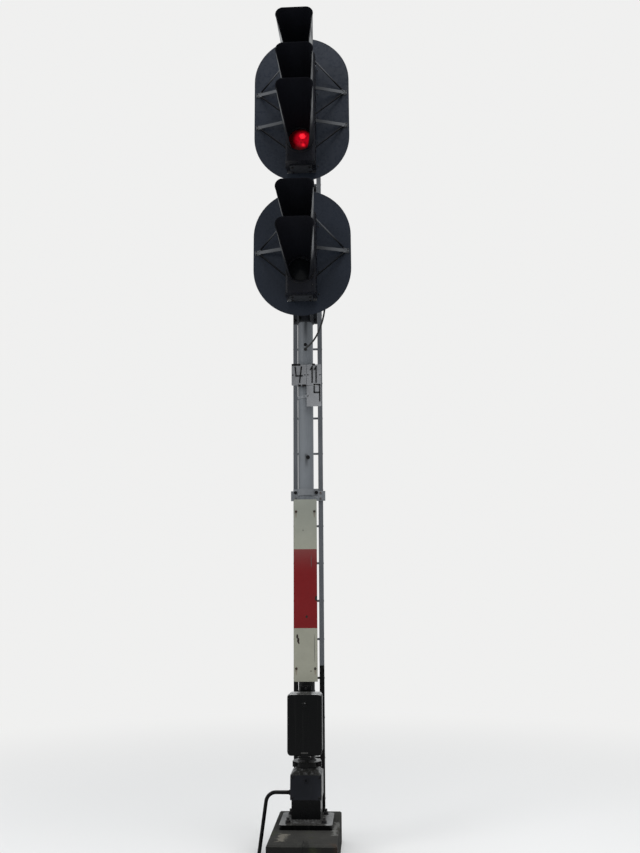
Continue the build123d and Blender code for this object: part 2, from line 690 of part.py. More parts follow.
def make_housing(label, lenses):
    bottom = lenses[0] - HOUSING_END
    top = lenses[-1] + HOUSING_END
    half = HOUSING_WIDTH / 2
    with BuildPart() as housing:
        with BuildSketch(Plane.XY.offset(bottom)):
            with Locations((0, -(HOUSING_FRONT + HOUSING_BACK) / 2)):
                RectangleRounded(HOUSING_WIDTH, HOUSING_FRONT - HOUSING_BACK, HOUSING_CORNER)
        extrude(amount=top - bottom)
        with BuildSketch(Plane.XZ.offset(HOUSING_FRONT)):
            for z in lenses:
                with Locations((0, z)):
                    Circle(LENS_RADIUS + LENS_GAP)
        extrude(amount=-LENS_RECESS, mode=Mode.SUBTRACT)
        joints = [z - LENS_PITCH / 2 for z in lenses[1:]]
        front = -HOUSING_FRONT + HOUSING_CORNER
        for centre in [bottom, *joints, top]:
            rib = (max(centre - RIB_WIDTH / 2, bottom), min(centre + RIB_WIDTH / 2, top))
            for side in (-1, 1):
                ends = sorted((side * (half - 1), side * (half + RIB_THICKNESS)))
                block(ends, (front, -RIB_BACK), rib)
    save(housing, label + "_housing")
    make_doors(label, lenses)
    return bottom, top


def make_doors(label, lenses):
    """A door behind each lens, with two hinge barrels on one side and a latch on the other."""
    back = -HOUSING_BACK + DOOR_THICKNESS
    hinge_x = -DOOR_WIDTH / 2
    latch_x = DOOR_WIDTH / 2 - DOOR_LATCH_SIZE
    with BuildPart() as doors:
        with BuildSketch(Plane.XZ.offset(HOUSING_BACK - DOOR_THICKNESS)):
            for z in lenses:
                with Locations((0, z)):
                    RectangleRounded(DOOR_WIDTH, DOOR_HEIGHT, DOOR_CORNER)
        extrude(amount=DOOR_THICKNESS)
        for z in lenses:
            for up in (-1, 1):
                low = z + up * DOOR_HINGE_SPACING / 2 - DOOR_HINGE_LENGTH / 2
                rod((hinge_x, back, low), (hinge_x, back, low + DOOR_HINGE_LENGTH), DOOR_HINGE_RADIUS)
            block(
                (latch_x, latch_x + DOOR_LATCH_SIZE),
                (back - 1, back + DOOR_LATCH_THICKNESS),
                (z - DOOR_LATCH_SIZE / 2, z + DOOR_LATCH_SIZE / 2),
            )
    save(doors, label + "_rear_doors")


def make_lens(label, z):
    """A round lens with a crowned front, seated in the housing's recess."""
    back = HOUSING_FRONT - LENS_RECESS
    with BuildPart() as lens:
        with BuildSketch(Plane.YZ):
            with BuildLine():
                front = back + LENS_THICKNESS
                Polyline(
                    (-back, z),
                    (-front - LENS_CROWN, z),
                    (-front - LENS_CROWN, z + LENS_RADIUS / 4),
                    (-front - LENS_CROWN * 0.75, z + LENS_RADIUS / 2),
                    (-front, z + LENS_RADIUS),
                    (-back, z + LENS_RADIUS),
                    close=True,
                )
            make_face()
        revolve(axis=Axis((0, 0, z), (0, 1, 0)))
    save(lens, label)


def rolled_outline(flat, side, corner, centre):
    """Points of an outline with rolled corners, whose straight sides lean inward going down."""
    points = []
    fall = side * math.tan(math.radians(HOOD_LEAN))
    arcs = (
        (1, 1, -HOOD_LEAN, 90),
        (-1, 1, 90, 180 + HOOD_LEAN),
        (-1, -1, 180 + HOOD_LEAN, 270),
        (1, -1, 270, 360 - HOOD_LEAN),
    )
    for across, up, start, end in arcs:
        corner_x = across * (flat / 2 - (fall if up < 0 else 0))
        corner_z = centre + up * side / 2
        for step in range(HOOD_FLATS + 1):
            angle = math.radians(start + (end - start) * step / HOOD_FLATS)
            points.append((corner_x + corner * math.cos(angle), corner_z + corner * math.sin(angle)))
    return points


def make_hood(label, z):
    """Rolled hood: round at the lens, flat-topped and wide at the tip, open below from its ring."""
    tip_flat = HOOD_TIP_WIDTH - 2 * HOOD_TIP_CORNER
    tip_side = HOOD_TIP_RISE + HOOD_TIP_DROP - 2 * HOOD_TIP_CORNER
    tip_centre = z + (HOOD_TIP_RISE - HOOD_TIP_DROP) / 2
    base_corner = (HOOD_BASE - HOOD_BASE_FLAT) / 2
    ring_outer = HOOD_BASE / 2 + HOOD_RING_WIDTH
    ring_front = HOUSING_FRONT + HOOD_RING_THICKNESS
    tip_y = HOUSING_FRONT + HOOD_LENGTH
    with BuildPart() as hood:
        with BuildSketch(Plane.XZ.offset(HOUSING_FRONT)):
            with Locations((0, z)):
                Circle(ring_outer)
        extrude(amount=HOOD_RING_THICKNESS)
        for wall, mode in ((0.0, Mode.ADD), (HOOD_WALL, Mode.SUBTRACT)):
            base_points = rolled_outline(HOOD_BASE_FLAT, HOOD_BASE_SIDE, base_corner - wall, z)
            tip_points = rolled_outline(tip_flat, tip_side, HOOD_TIP_CORNER - wall, tip_centre)
            for distance, points in ((HOUSING_FRONT, base_points), (tip_y, tip_points)):
                with BuildSketch(Plane.XZ.offset(distance)):
                    with BuildLine():
                        Polyline(*points, close=True)
                    make_face()
            loft(ruled=True, mode=mode)
        with BuildSketch(Plane.YZ):
            with BuildLine():
                Polyline(
                    (-ring_front, z - HOOD_OPEN_DROP),
                    (-tip_y, z + HOOD_TIP_RISE - HOOD_TIP_SIDE),
                    (-tip_y - 10, z + HOOD_TIP_RISE - HOOD_TIP_SIDE),
                    (-tip_y - 10, z - HOOD_BASE),
                    (-ring_front, z - HOOD_BASE),
                    close=True,
                )
            make_face()
        extrude(amount=HOOD_TIP_WIDTH, both=True, mode=Mode.SUBTRACT)
    save(hood, label)


def make_backboard(label, ends, cut_out):
    """Long round-ended board with a cut-out that the housing and its brackets pass through."""
    bottom, top = ends
    half_cut = HOUSING_WIDTH / 2 + BACKBOARD_CLEARANCE
    centre = (bottom + top) / 2
    with BuildPart() as backboard:
        with BuildSketch(Plane.XZ.offset(BACKBOARD_FRONT - BACKBOARD_THICKNESS)):
            with Locations((0, centre)):
                SlotOverall(top - bottom, BACKBOARD_WIDTH, rotation=90)
        extrude(amount=BACKBOARD_THICKNESS)
        block(
            (-half_cut, half_cut),
            (-BACKBOARD_FRONT - 1, -BACKBOARD_FRONT + BACKBOARD_THICKNESS + 1),
            (cut_out[0], cut_out[1]),
            Mode.SUBTRACT,
        )
    save(backboard, label)


def make_stays(label, rows):
    """Flat bars and round rods from pads near the board's edge to the housing's sides."""
    pad_x = BACKBOARD_WIDTH / 2 - STAY_INSET
    side_x = HOUSING_WIDTH / 2
    face_y = -BACKBOARD_FRONT
    with BuildPart() as stays:
        for z, slopes in rows:
            for side in (-1, 1):
                start = (side * pad_x, face_y - STAY_PAD_THICKNESS, z)
                end_y = face_y - STAY_REACH
                block(
                    (side * pad_x - STAY_PAD / 2, side * pad_x + STAY_PAD / 2),
                    (face_y - STAY_PAD_THICKNESS, face_y),
                    (z - STAY_PAD / 2, z + STAY_PAD / 2),
                )
                run = Vector(side * (side_x - STAY_SINK), end_y, z) - Vector(*start)
                flat = Plane(origin=start, x_dir=(0, 0, 1), z_dir=tuple(run))
                with BuildSketch(flat):
                    Rectangle(STAY_BAR_WIDTH, STAY_BAR_THICKNESS)
                extrude(amount=run.length)
                for slope in slopes:
                    end = (side * (side_x - STAY_SINK), end_y, z + slope * STAY_RISE)
                    rod(start, end, STAY_ROD_RADIUS)
        reach = (rows[0][0] - STAY_RISE * 2, rows[-1][0] + STAY_RISE * 2)
        block((-side_x, side_x), (-HOUSING_FRONT, -HOUSING_BACK), reach, Mode.SUBTRACT)
        block((-pad_x * 2, pad_x * 2), (face_y, 0), reach, Mode.SUBTRACT)
    save(stays, label)


def bracket(face_z, up):
    """One console: saddle on the mast, gussets and a tongue whose face meets the housing."""
    half = TONGUE_WIDTH / 2
    if up:
        tongue = (face_z, face_z + TONGUE_THICKNESS)
        saddle_bottom = face_z + TONGUE_THICKNESS - SADDLE_HEIGHT + SADDLE_OVER_TONGUE
    else:
        tongue = (face_z - TONGUE_THICKNESS, face_z)
        saddle_bottom = face_z - TONGUE_THICKNESS - SADDLE_OVER_TONGUE
    clamp_halves(saddle_bottom, SADDLE_HEIGHT, SADDLE_WALL, SADDLE_SPAN, CLAMP_EAR_THICKNESS)
    block((-half, half), (-TONGUE_REACH, -MAST_RADIUS / 2), tongue)
    sign = 1 if up else -1
    base_z = tongue[1] - 1 if up else tongue[0] + 1
    for side in (-1, 1):
        with BuildSketch(Plane.YZ.offset(side * GUSSET_OFFSET)) as gusset:
            with BuildLine():
                Polyline(
                    (-MAST_RADIUS / 2, base_z),
                    (-BACKBOARD_FRONT + BACKBOARD_THICKNESS * 8, base_z),
                    (-BACKBOARD_FRONT + BACKBOARD_THICKNESS * 8, base_z + sign * 12),
                    (-MAST_RADIUS, base_z + sign * (SADDLE_OVER_TONGUE - 4)),
                    (-MAST_RADIUS / 2, base_z + sign * (SADDLE_OVER_TONGUE - 4)),
                    close=True,
                )
            make_face()
        extrude(gusset.sketch, amount=GUSSET_THICKNESS / 2, both=True)
    low = min(saddle_bottom, tongue[0])
    mast_hole(low, SADDLE_HEIGHT + TONGUE_THICKNESS)
    split = CLAMP_SPLIT / 2
    span = SADDLE_SPAN
    block((-span, span), (-split, split), (low, low + SADDLE_HEIGHT + TONGUE_THICKNESS), Mode.SUBTRACT)


def make_head_brackets(label, bottom, top):
    with BuildPart() as head_brackets:
        bracket(bottom, False)
        bracket(top, True)
    save(head_brackets, label)


def make_head(label, lenses, names, margins, slopes):
    bottom, top = make_housing(label, lenses)
    for name, z in zip(names, lenses):
        make_lens(label + "_lens_" + name, z)
        make_hood(label + "_hood_" + name, z)
    reach = TONGUE_THICKNESS + BACKBOARD_CLEARANCE
    board_ends = (lenses[0] - margins[0], lenses[-1] + margins[1])
    make_backboard(label + "_backboard", board_ends, (bottom - reach, top + reach))
    stay_rows = [(z + STAY_ABOVE_LENS, row) for z, row in zip(lenses, slopes)]
    make_stays(label + "_stays", stay_rows)
    make_head_brackets(label + "_brackets", bottom, top)


def cable_radii(points):
    """The largest radius that the two runs at each corner allow."""
    radii = []
    for before, here, after in zip(points, points[1:], points[2:]):
        first = Vector(*here) - Vector(*before)
        second = Vector(*after) - Vector(*here)
        turn = math.radians(first.get_angle(second))
        radii.append(0.45 * min(first.length, second.length) / math.tan(turn / 2))
    return radii


def make_cable():
    radii = cable_radii(CABLE_POINTS)
    print("cable bend radii", [round(radius) for radius in radii])
    start = Vector(*CABLE_POINTS[0])
    heading = Vector(*CABLE_POINTS[1]) - start
    with BuildPart() as head_cable:
        with BuildLine() as route:
            FilletPolyline(*CABLE_POINTS, radius=radii)
        with BuildSketch(Plane(origin=CABLE_POINTS[0], z_dir=tuple(heading))):
            Circle(CABLE_RADIUS)
        sweep(path=route.line)
    length = sum(edge.length for edge in route.edges())
    print("cable length", round(length, 1), "volume", round(head_cable.part.volume))
    print("section times length", round(math.pi * CABLE_RADIUS**2 * length))
    save(head_cable, "head_cable")
    direction = heading.normalized()
    root = start - direction * 60.0
    side_x = HOUSING_WIDTH / 2
    with BuildPart() as cable_gland:
        rod(tuple(root), tuple(start), GLAND_RADIUS)
        block((-side_x, side_x), (-HOUSING_FRONT, -HOUSING_BACK), (0, MAST_TOP), Mode.SUBTRACT)
    save(cable_gland, "cable_gland")


make_plinth()
make_anchor_bolts()
make_base_casting()
make_base_cover()
make_socket_clamp()
make_mast()
make_cable_box()
make_box_cover()
make_box_bracket()
make_striped_board()
make_ladder()
make_ladder_clamps()
make_plates()
make_conduit()
make_head("upper", UPPER_LENSES, ("bottom", "middle", "top"), UPPER_BOARD_MARGINS, UPPER_STAY_SLOPES)
make_head("lower", LOWER_LENSES, ("bottom", "top"), LOWER_BOARD_MARGINS, LOWER_STAY_SLOPES)
make_cable()
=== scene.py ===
"""Looks of the railway colour-light signal mast: materials, fasteners, wear, lamps, light and camera."""

import json
import math
from itertools import product

import bmesh
import bpy
from mathutils import Matrix, Vector


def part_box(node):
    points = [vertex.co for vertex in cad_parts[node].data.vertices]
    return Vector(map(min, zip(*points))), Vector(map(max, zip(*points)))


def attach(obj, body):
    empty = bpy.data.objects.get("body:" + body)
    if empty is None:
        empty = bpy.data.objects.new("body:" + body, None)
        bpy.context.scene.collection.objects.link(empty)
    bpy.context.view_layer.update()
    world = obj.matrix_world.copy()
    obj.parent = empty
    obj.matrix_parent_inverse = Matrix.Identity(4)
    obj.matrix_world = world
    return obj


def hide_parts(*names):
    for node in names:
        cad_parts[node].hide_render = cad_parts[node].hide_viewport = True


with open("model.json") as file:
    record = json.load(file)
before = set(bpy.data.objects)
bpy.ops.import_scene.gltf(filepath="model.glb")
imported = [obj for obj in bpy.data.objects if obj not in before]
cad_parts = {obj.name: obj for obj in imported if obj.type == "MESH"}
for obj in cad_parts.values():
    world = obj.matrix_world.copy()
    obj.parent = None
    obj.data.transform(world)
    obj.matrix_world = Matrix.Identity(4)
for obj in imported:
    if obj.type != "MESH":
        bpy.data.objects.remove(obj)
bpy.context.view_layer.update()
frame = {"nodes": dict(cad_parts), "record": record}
MM = 0.001
BODY = "mast"
COVER_BODY = "cover"
X, Y, Z = 0, 1, 2
FRONT, BACK, UP, DOWN = (0, -1, 0), (0, 1, 0), (0, 0, 1), (0, 0, -1)
SIDES = (-1, 1)

# The photograph's camera, solved from its horizon and the track's gauge
CAMERA_PLACE = Vector((0.557, -7.881, 2.16))
FOCAL_PIXELS = 880
HORIZON_PIXELS = 166
PICTURE_HEIGHT = 853
SENSOR = 36
YAW = math.radians(3.1)
PITCH = math.atan(HORIZON_PIXELS / FOCAL_PIXELS)
ROLL = math.radians(-0.4)

# Places that more than one piece or look uses, in metres
PAINT_LINE = 1.43
LADDER_PAINT_LINE = 1.52
RED_LOW, RED_HIGH = 1.859, 2.535
BOARD_BOLTS = tuple(product((-0.081, 0.081), (1.521, 2.864)))
BAR_ABOVE_LAMP = 0.247
ROD_REACH = 0.33
LAMP_FACE = -0.6
HOOD_FRONT, HOOD_TIP = -0.606, -1.22
HOOD_WALL = 0.003

BACKDROP = (0.87, 0.87, 0.865)
RUST = (0.1, 0.035, 0.014)
DUST_AND_SKY_GREY = (0.2, 0.195, 0.18)
BLACK = (0.0016, 0.0018, 0.002)
MAST_GREY = (0.165, 0.178, 0.193)
LADDER_GREY = (0.112, 0.119, 0.13)


def add(name, data):
    made = bpy.data.objects.new(name, data)
    bpy.context.scene.collection.objects.link(made)
    return made


def middle(node):
    low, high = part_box(node)
    return (low + high) / 2


def heights(node):
    low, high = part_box(node)
    return low.z, high.z


def arc(x, z, radius, start, end, steps):
    """Points on a circle from one angle to another, in degrees."""
    angles = [math.radians(start + (end - start) * step / steps) for step in range(steps + 1)]
    return [(x + radius * math.cos(angle), z + radius * math.sin(angle)) for angle in angles]


def make_camera():
    ahead = Vector((-math.sin(YAW), math.cos(YAW), 0))
    right = Vector((math.cos(YAW), math.sin(YAW), 0))
    forward = ahead * math.cos(PITCH) + Vector(UP) * math.sin(PITCH)
    up = Vector(UP) * math.cos(PITCH) - ahead * math.sin(PITCH)
    right_rolled = right * math.cos(ROLL) + up * math.sin(ROLL)
    up_rolled = up * math.cos(ROLL) - right * math.sin(ROLL)
    data = bpy.data.cameras.new("camera")
    data.sensor_width = SENSOR
    data.lens = FOCAL_PIXELS * SENSOR / PICTURE_HEIGHT
    data.clip_start, data.clip_end = 0.05, 200
    camera = add("camera", data)
    turn = Matrix((right_rolled, up_rolled, -forward)).transposed()
    camera.matrix_world = Matrix.Translation(CAMERA_PLACE) @ turn.to_4x4()
    bpy.context.scene.camera = camera


class Value:
    """A node's output. Each sum or method on it adds one node."""

    def __init__(self, look, socket):
        self.look, self.socket = look, socket

    def __add__(self, other):
        return self.look.calc("ADD", self, other)

    def __sub__(self, other):
        return self.look.calc("SUBTRACT", self, other)

    def __mul__(self, other):
        return self.look.calc("MULTIPLY", self, other)

    def __truediv__(self, other):
        return self.look.calc("DIVIDE", self, other)

    def __abs__(self):
        return self.look.calc("ABSOLUTE", self)

    def most(self, other):
        return self.look.calc("MAXIMUM", self, other)

    def step(self, low, high):
        """0 below low, 1 above high, smooth between."""
        inputs = {"Value": self, "From Min": low, "From Max": high}
        return self.look.node("ShaderNodeMapRange", 0, inputs, interpolation_type="SMOOTHSTEP")

    def mix(self, first, second):
        """The colour at this share between two."""
        return self.look.node("ShaderNodeMix", 2, {0: self, 6: first, 7: second}, data_type="RGBA")

    def blend(self, first, second):
        """The number at this share between two."""
        return self.look.node("ShaderNodeMix", 0, {0: self, 2: first, 3: second})


class Look:
    """A node material in the making. Its methods add nodes and return the value to use next."""

    def __init__(self, name, **shader):
        self.material = bpy.data.materials.new(name)
        self.material.use_nodes = True
        self.tree = self.material.node_tree
        self.shader = self.tree.nodes["Principled BSDF"]
        place = self.tree.nodes.new("ShaderNodeTexCoord")
        self.place = Value(self, place.outputs["Object"])
        self.normal = Value(self, place.outputs["Normal"])
        for key, value in shader.items():
            self.feed(self.shader.inputs[key.replace("_", " ")], value)

    def feed(self, socket, value):
        if isinstance(value, Value):
            self.tree.links.new(value.socket, socket)
        else:
            socket.default_value = (*value, 1) if socket.type == "RGBA" else value

    def node(self, kind, output=0, inputs=(), **settings):
        made = self.tree.nodes.new(kind)
        for key, value in settings.items():
            setattr(made, key, value)
        for key, value in dict(inputs).items():
            self.feed(made.inputs[key], value)
        return Value(self, made.outputs[output])

    def calc(self, operation, first, second=0):
        return self.node("ShaderNodeMath", 0, {0: first, 1: second}, operation=operation)

    def distance(self, first, second):
        return self.calc("SQRT", first * first + second * second)

    def at(self, index):
        """The place along an axis, in metres."""
        return self.node("ShaderNodeSeparateXYZ", index, {0: self.place})

    def facing(self, index):
        """How far the surface faces along an axis, -1 to 1."""
        return self.node("ShaderNodeSeparateXYZ", index, {0: self.normal})

    def stretched(self, scale):
        return self.node("ShaderNodeMapping", 0, {"Vector": self.place, "Scale": scale})

    def noise(self, scale, detail=4, roughness=0.55, vector=None):
        inputs = {"Vector": vector or self.place, "Scale": scale, "Detail": detail, "Roughness": roughness}
        return self.node("ShaderNodeTexNoise", 0, inputs)

    def cells(self, scale):
        return self.node("ShaderNodeTexVoronoi", 0, {"Vector": self.place, "Scale": scale}, feature="F1")

    def edges(self, radius):
        """Near 1 where the surface turns sharply within the radius, in metres."""
        rounded = self.node("ShaderNodeBevel", 0, {"Radius": radius}, samples=4)
        flat = self.node("ShaderNodeNewGeometry", 1)
        along = self.node("ShaderNodeVectorMath", 1, {0: rounded, 1: flat}, operation="DOT_PRODUCT")
        return along.step(0.985, 0.9)

    def bump(self, height, distance, strength=1, rounded=0):
        inputs = {"Height": height, "Distance": distance, "Strength": strength}
        if rounded:
            inputs["Normal"] = self.node("ShaderNodeBevel", 0, {"Radius": rounded}, samples=4)
        self.feed(self.shader.inputs["Normal"], self.node("ShaderNodeBump", 0, inputs))

    def finish(self, colour, roughness):
        self.feed(self.shader.inputs["Base Color"], colour)
        self.feed(self.shader.inputs["Roughness"], roughness)
        return self.material


def grey(value):
    return (value, value, value)


def painted(name, colour, gloss=0.35, spread=0.2, dust=0.2, wear=0.5, edge=0.0015, streaks=0.15, sheen=0.3):
    """Old outdoor paint: uneven colour, dust on ledges that also stands for sky light on top faces, rain streaks,
    chips on edges and orange peel.
    The colour is three numbers, or a function that makes it in the look's own nodes."""
    look = Look(name, Specular_IOR_Level=sheen)
    patches = look.noise(2.3, 5, 0.6).step(0.3, 0.7)
    fine = look.noise(38, 4, 0.6)
    if callable(colour):
        inputs = {0: 1, 6: colour(look), 7: patches.mix(grey(1 - spread), grey(1))}
        shade = look.node("ShaderNodeMix", 2, inputs, data_type="RGBA", blend_type="MULTIPLY")
    else:
        dark = [c * (1 - spread) for c in colour]
        light = [c * (1 + spread) + 0.004 for c in colour]
        shade = patches.mix(dark, light)
    runs = look.noise(1, 5, 0.65, look.stretched((34, 34, 1.1)))
    shade = (runs.step(0.55, 0.8) * streaks).mix(shade, DUST_AND_SKY_GREY)
    # Upward faces turn dust grey: partly dust, partly painted sky light on their tops.
    dust_and_top_light = look.facing(Z).step(0.45, 0.95) * dust * fine.blend(0.5, 1.4)
    shade = dust_and_top_light.mix(shade, DUST_AND_SKY_GREY)
    chips = look.edges(edge) * look.noise(90, 3).step(0.52, 0.62) * wear
    shade = chips.mix(shade, RUST)
    rough = fine.step(0.3, 0.8).blend(gloss * 0.8, gloss * 1.35)
    rough = chips.blend(dust_and_top_light.blend(rough, 0.9), 0.85)
    look.bump(look.noise(420, 2) + look.noise(60, 3) * 1.6, 0.00025, 0.5, rounded=edge)
    return look, shade, rough


def paint(name, colour, **settings):
    look, shade, rough = painted(name, colour, **settings)
    return look.finish(shade, rough)


def two_tone(low, high, line):
    """Colours that meet at a painted line, a little uneven."""

    def colour(look):
        height = look.at(Z) + look.noise(9) * 0.012
        return height.step(line, line + 0.003).mix(low, high)

    return colour


def concrete_look():
    """Dark concrete with sand, moss, stains and a crack, ragged patches on its top, painted shade on its upright
    faces, and darker towards the bottom.
    """
    look = Look("concrete", Specular_IOR_Level=0.15)
    clouds = look.noise(3.1, 6, 0.65)
    sand = look.noise(160, 4, 0.7)
    shade = clouds.step(0.3, 0.72).mix((0.017, 0.017, 0.0158), (0.036, 0.0355, 0.0325))
    shade = (sand.step(0.35, 0.75) * 0.35).mix(shade, (0.075, 0.073, 0.067))
    shade = (look.cells(70).step(0.28, 0.12) * 0.35).mix(shade, (0.015, 0.0145, 0.013))
    upright = look.facing(Z).step(0.8, 0.3)
    # Upright faces painted near black as painted shade.
    shade = (upright * 0.8).mix(shade, grey(0.0035))
    # Darker towards the bottom.
    darker_below = look.at(Z) + look.noise(7) * -0.14
    shade = (darker_below.step(0.06, -0.04) * 0.7).mix(shade, (0.012, 0.011, 0.009))
    moss = look.noise(5.5, 6)
    shade = (moss.step(0.58, 0.7) * 0.4).mix(shade, (0.035, 0.042, 0.018))
    stain = look.noise(4.2, 3, 0.5, look.stretched((1, 1, 0.2)))
    shade = (stain.step(0.62, 0.75) * 0.35).mix(shade, (0.05, 0.025, 0.012))
    across, along = look.at(X), look.at(Y)
    ragged = (look.noise(24, 7, 0.78) - 0.5) * 0.21
    patches = (
        (-0.166, -0.44, 0.03, 0.11, 0.75, (0.155, 0.145, 0.122)),
        (0.245, -0.16, 0.016, 0.2, 0.6, (0.19, 0.19, 0.18)),
        (0.033, -0.6, 0.016, 0.06, 0.7, (0.012, 0.012, 0.011)),
    )
    for x, y, half_x, half_y, strength, colour in patches:
        outside = (abs(across - x) - half_x).most(abs(along - y) - half_y) + ragged
        patch = outside.step(0.008, -0.008) * upright.step(0.6, 0.2)
        shade = (patch * strength).mix(shade, colour)
    crack = abs(across + ragged * 0.3 - 0.007).step(0.004, 0.0015) * along.step(-0.5, -0.56)
    shade = crack.mix(shade, grey(0.004))
    look.bump(look.cells(38).step(0.12, 0.24) + sand * 0.7, 0.0035, 0.8, rounded=0.004)
    return look.finish(shade, sand.blend(0.82, 1))


def galvanised_look():
    look = Look("galvanised", Metallic=0.85)
    shade = look.cells(220).mix((0.42, 0.43, 0.44), (0.62, 0.63, 0.64))
    rust = look.noise(45, 5).step(0.55, 0.72)
    shade = (rust * 0.7).mix(shade, RUST)
    look.bump(look.noise(300), 0.0002, 0.6, rounded=0.0008)
    return look.finish(shade, rust.blend(0.38, 0.85))


def metal_look(name, colour, rough):
    look = Look(name, Metallic=0.9)
    rust = look.noise(55, 5).step(0.5, 0.68)
    shade = (rust * 0.75).mix(colour, RUST)
    look.bump(look.noise(260), 0.0002, 0.5, rounded=0.0006)
    return look.finish(shade, rust.blend(rough, 0.85))


def striped_look():
    """White, red and white bands on the front; bare primer grey behind, chips and scratches in front."""

    def bands(look):
        height = look.at(Z)
        ragged = height + look.noise(30) * 0.003
        red = ragged.step(RED_LOW, RED_LOW + 0.002) - ragged.step(RED_HIGH, RED_HIGH + 0.002)
        shade = red.mix((0.275, 0.275, 0.225), (0.152, 0.008, 0.0095))
        shade = (height.step(2.3, 2.95) * 0.45).mix(shade, (0.225, 0.248, 0.23))
        return look.facing(Y).step(0.2, 0.6).mix(shade, (0.12, 0.125, 0.125))

    look, shade, rough = painted("board_white", bands, gloss=0.42, spread=0.16, streaks=0.07, sheen=0.14,
                                 wear=0.9, edge=0.002)
    height, across = look.at(Z), look.at(X)

    def spot(x, z, half_x, half_z, ragged=0.4):
        """An uneven fleck round a point of the board."""
        dx, dz = (across - x) / half_x, (height - z) / half_z
        away = dx * dx + dz * dz + look.noise(60, 4) * (ragged * 2)
        return away.step(1 + ragged, 0.8 + ragged)

    flecks = ((-0.072, 1.79, 0.009, 0.02), (-0.064, 1.757, 0.01, 0.024), (0.01, 1.955, 0.01, 0.012),
              (0.094, 2.11, 0.013, 0.024), (-0.058, 1.735, 0.006, 0.01),
              (-0.02, 2.7, 0.004, 0.005), (0.045, 1.5, 0.005, 0.004))
    for fleck in flecks:
        shade = spot(*fleck).mix(shade, (0.02, 0.014, 0.012))
    for x, z, length in ((0.076, 1.69, 0.13), (0.052, 2.43, 0.06)):
        shade = (spot(x, z, 0.0028, length, 0.3) * 0.8).mix(shade, (0.07, 0.07, 0.065))
    specks = look.noise(26, 6, 0.7).step(0.7, 0.76)
    shade = (specks * 0.5).mix(shade, (0.14, 0.09, 0.06))
    for x, z in BOARD_BOLTS:
        shade = (spot(x, z - 0.022, 0.007, 0.034) * 0.35).mix(shade, RUST)
    return look.finish(shade, rough)


def blue_in_front(look):
    """Blue black sheet, dull grey behind."""
    return look.facing(Y).step(0.2, 0.6).mix((0.0155, 0.0195, 0.028), (0.06, 0.065, 0.07))


def hood_look():
    """Satin black on top, with painted sky light in streaky light grey where the sides roll in below, brightest on
    the top hood and dimmer on the left of the lower hoods, fading as painted shade towards the board.
    """
    look, shade, rough = painted("hood_black", (0.005, 0.0053, 0.0075), gloss=0.34, dust=0.12, wear=0.3,
                                 sheen=0.14)
    height = look.at(Z)
    top = height.step(6.72, 6.8)
    left = top.blend(height.step(5.4, 5.9).blend(0.25, 0.6), 1)
    sunny = look.at(X).step(-0.02, 0.02).blend(left, 1)
    runs = look.noise(1, 5, 0.6, look.stretched((30, 1.6, 30)))
    # Painted sky reflection on the undersides, fading as painted shade near the board.
    sky_light = look.facing(Z).step(-0.16, -0.42) * runs.step(0.36, 0.62).blend(0.45, 1)
    sky_light = sky_light * look.at(Y).step(-0.79, -0.97) * sunny
    shade = sky_light.mix(shade, top.mix((0.24, 0.245, 0.25), (0.4, 0.405, 0.41)))
    return look.finish(shade, rough)


def hood_lining_look():
    look = Look("hood_lining", Specular_IOR_Level=0.1)
    shade = look.noise(14, 5).mix((0.002, 0.0022, 0.0038), (0.0042, 0.0048, 0.008))
    look.bump(look.noise(500), 0.0003, 0.5)
    return look.finish(shade, 0.93)


def dark_lens_look():
    look = Look("lens_dark", Specular_IOR_Level=0.08)
    return look.finish(look.noise(3).mix((0.004, 0.005, 0.006), (0.01, 0.011, 0.012)), 0.3)


def red_lens_look():
    """Lit glass that glows, with a hot spot off its centre and a weaker one below."""
    look = Look("lens_red", Specular_IOR_Level=0.08)
    centre = middle("upper_lens_bottom")

    def glow(dx, dz, radius, core=0.1):
        away = look.distance(look.at(X) - (centre.x + dx), look.at(Z) - (centre.z + dz))
        return away.step(radius, radius * core)

    hot = glow(0.022, 0.032, 0.04).most(glow(0.03, -0.054, 0.026) * 0.4)
    body = (glow(0.024, 0.004, 0.096, 0.45) * 0.58).most(hot)
    mottle = look.cells(45).step(0.1, 0.6).blend(0.55, 1.1)
    colour = hot.mix((0.5, 0.002, 0.013), (1, 0.018, 0.03))
    look.feed(look.shader.inputs["Emission Color"], colour)
    look.feed(look.shader.inputs["Emission Strength"], (body + hot * 1.3) * mottle * 1.12)
    return look.finish((0.12, 0.002, 0.004), 0.2)


def rubber_look():
    look = Look("cable_rubber")
    look.bump(look.noise(700), 0.0002, 0.4)
    return look.finish(look.noise(30).mix(grey(0.005), grey(0.011)), 0.62)


def painted_light(look):
    """Painted light: flat bars and upper rods lightened to grey as painted sky reflection, and dimmed near the hood
    on the right as painted shade; the rods that run down stay black.
    """
    height = look.at(Z)
    # Painted shade: the bars on the right darken towards the hood.
    out_of_shade = look.at(X).step(0.14, 0.36).most(look.at(X).step(-0.05, -0.06))
    out_of_shade = out_of_shade.blend(0.35, 1)
    light = 0
    for lens, rod_above in (("lower_lens_bottom", True), ("upper_lens_bottom", False), ("upper_lens_middle", True)):
        bar = middle(lens).z + BAR_ABOVE_LAMP
        band = abs(height - bar).step(0.026, 0.018) * out_of_shade
        if rod_above:
            end = height.step(bar + ROD_REACH + 0.01, bar + ROD_REACH)
            band = band.most(height.step(bar + 0.05, bar + 0.2) * 0.9 * end)
        light = band.most(light)
    return light.mix((0.0035, 0.0038, 0.005), (0.105, 0.11, 0.118))


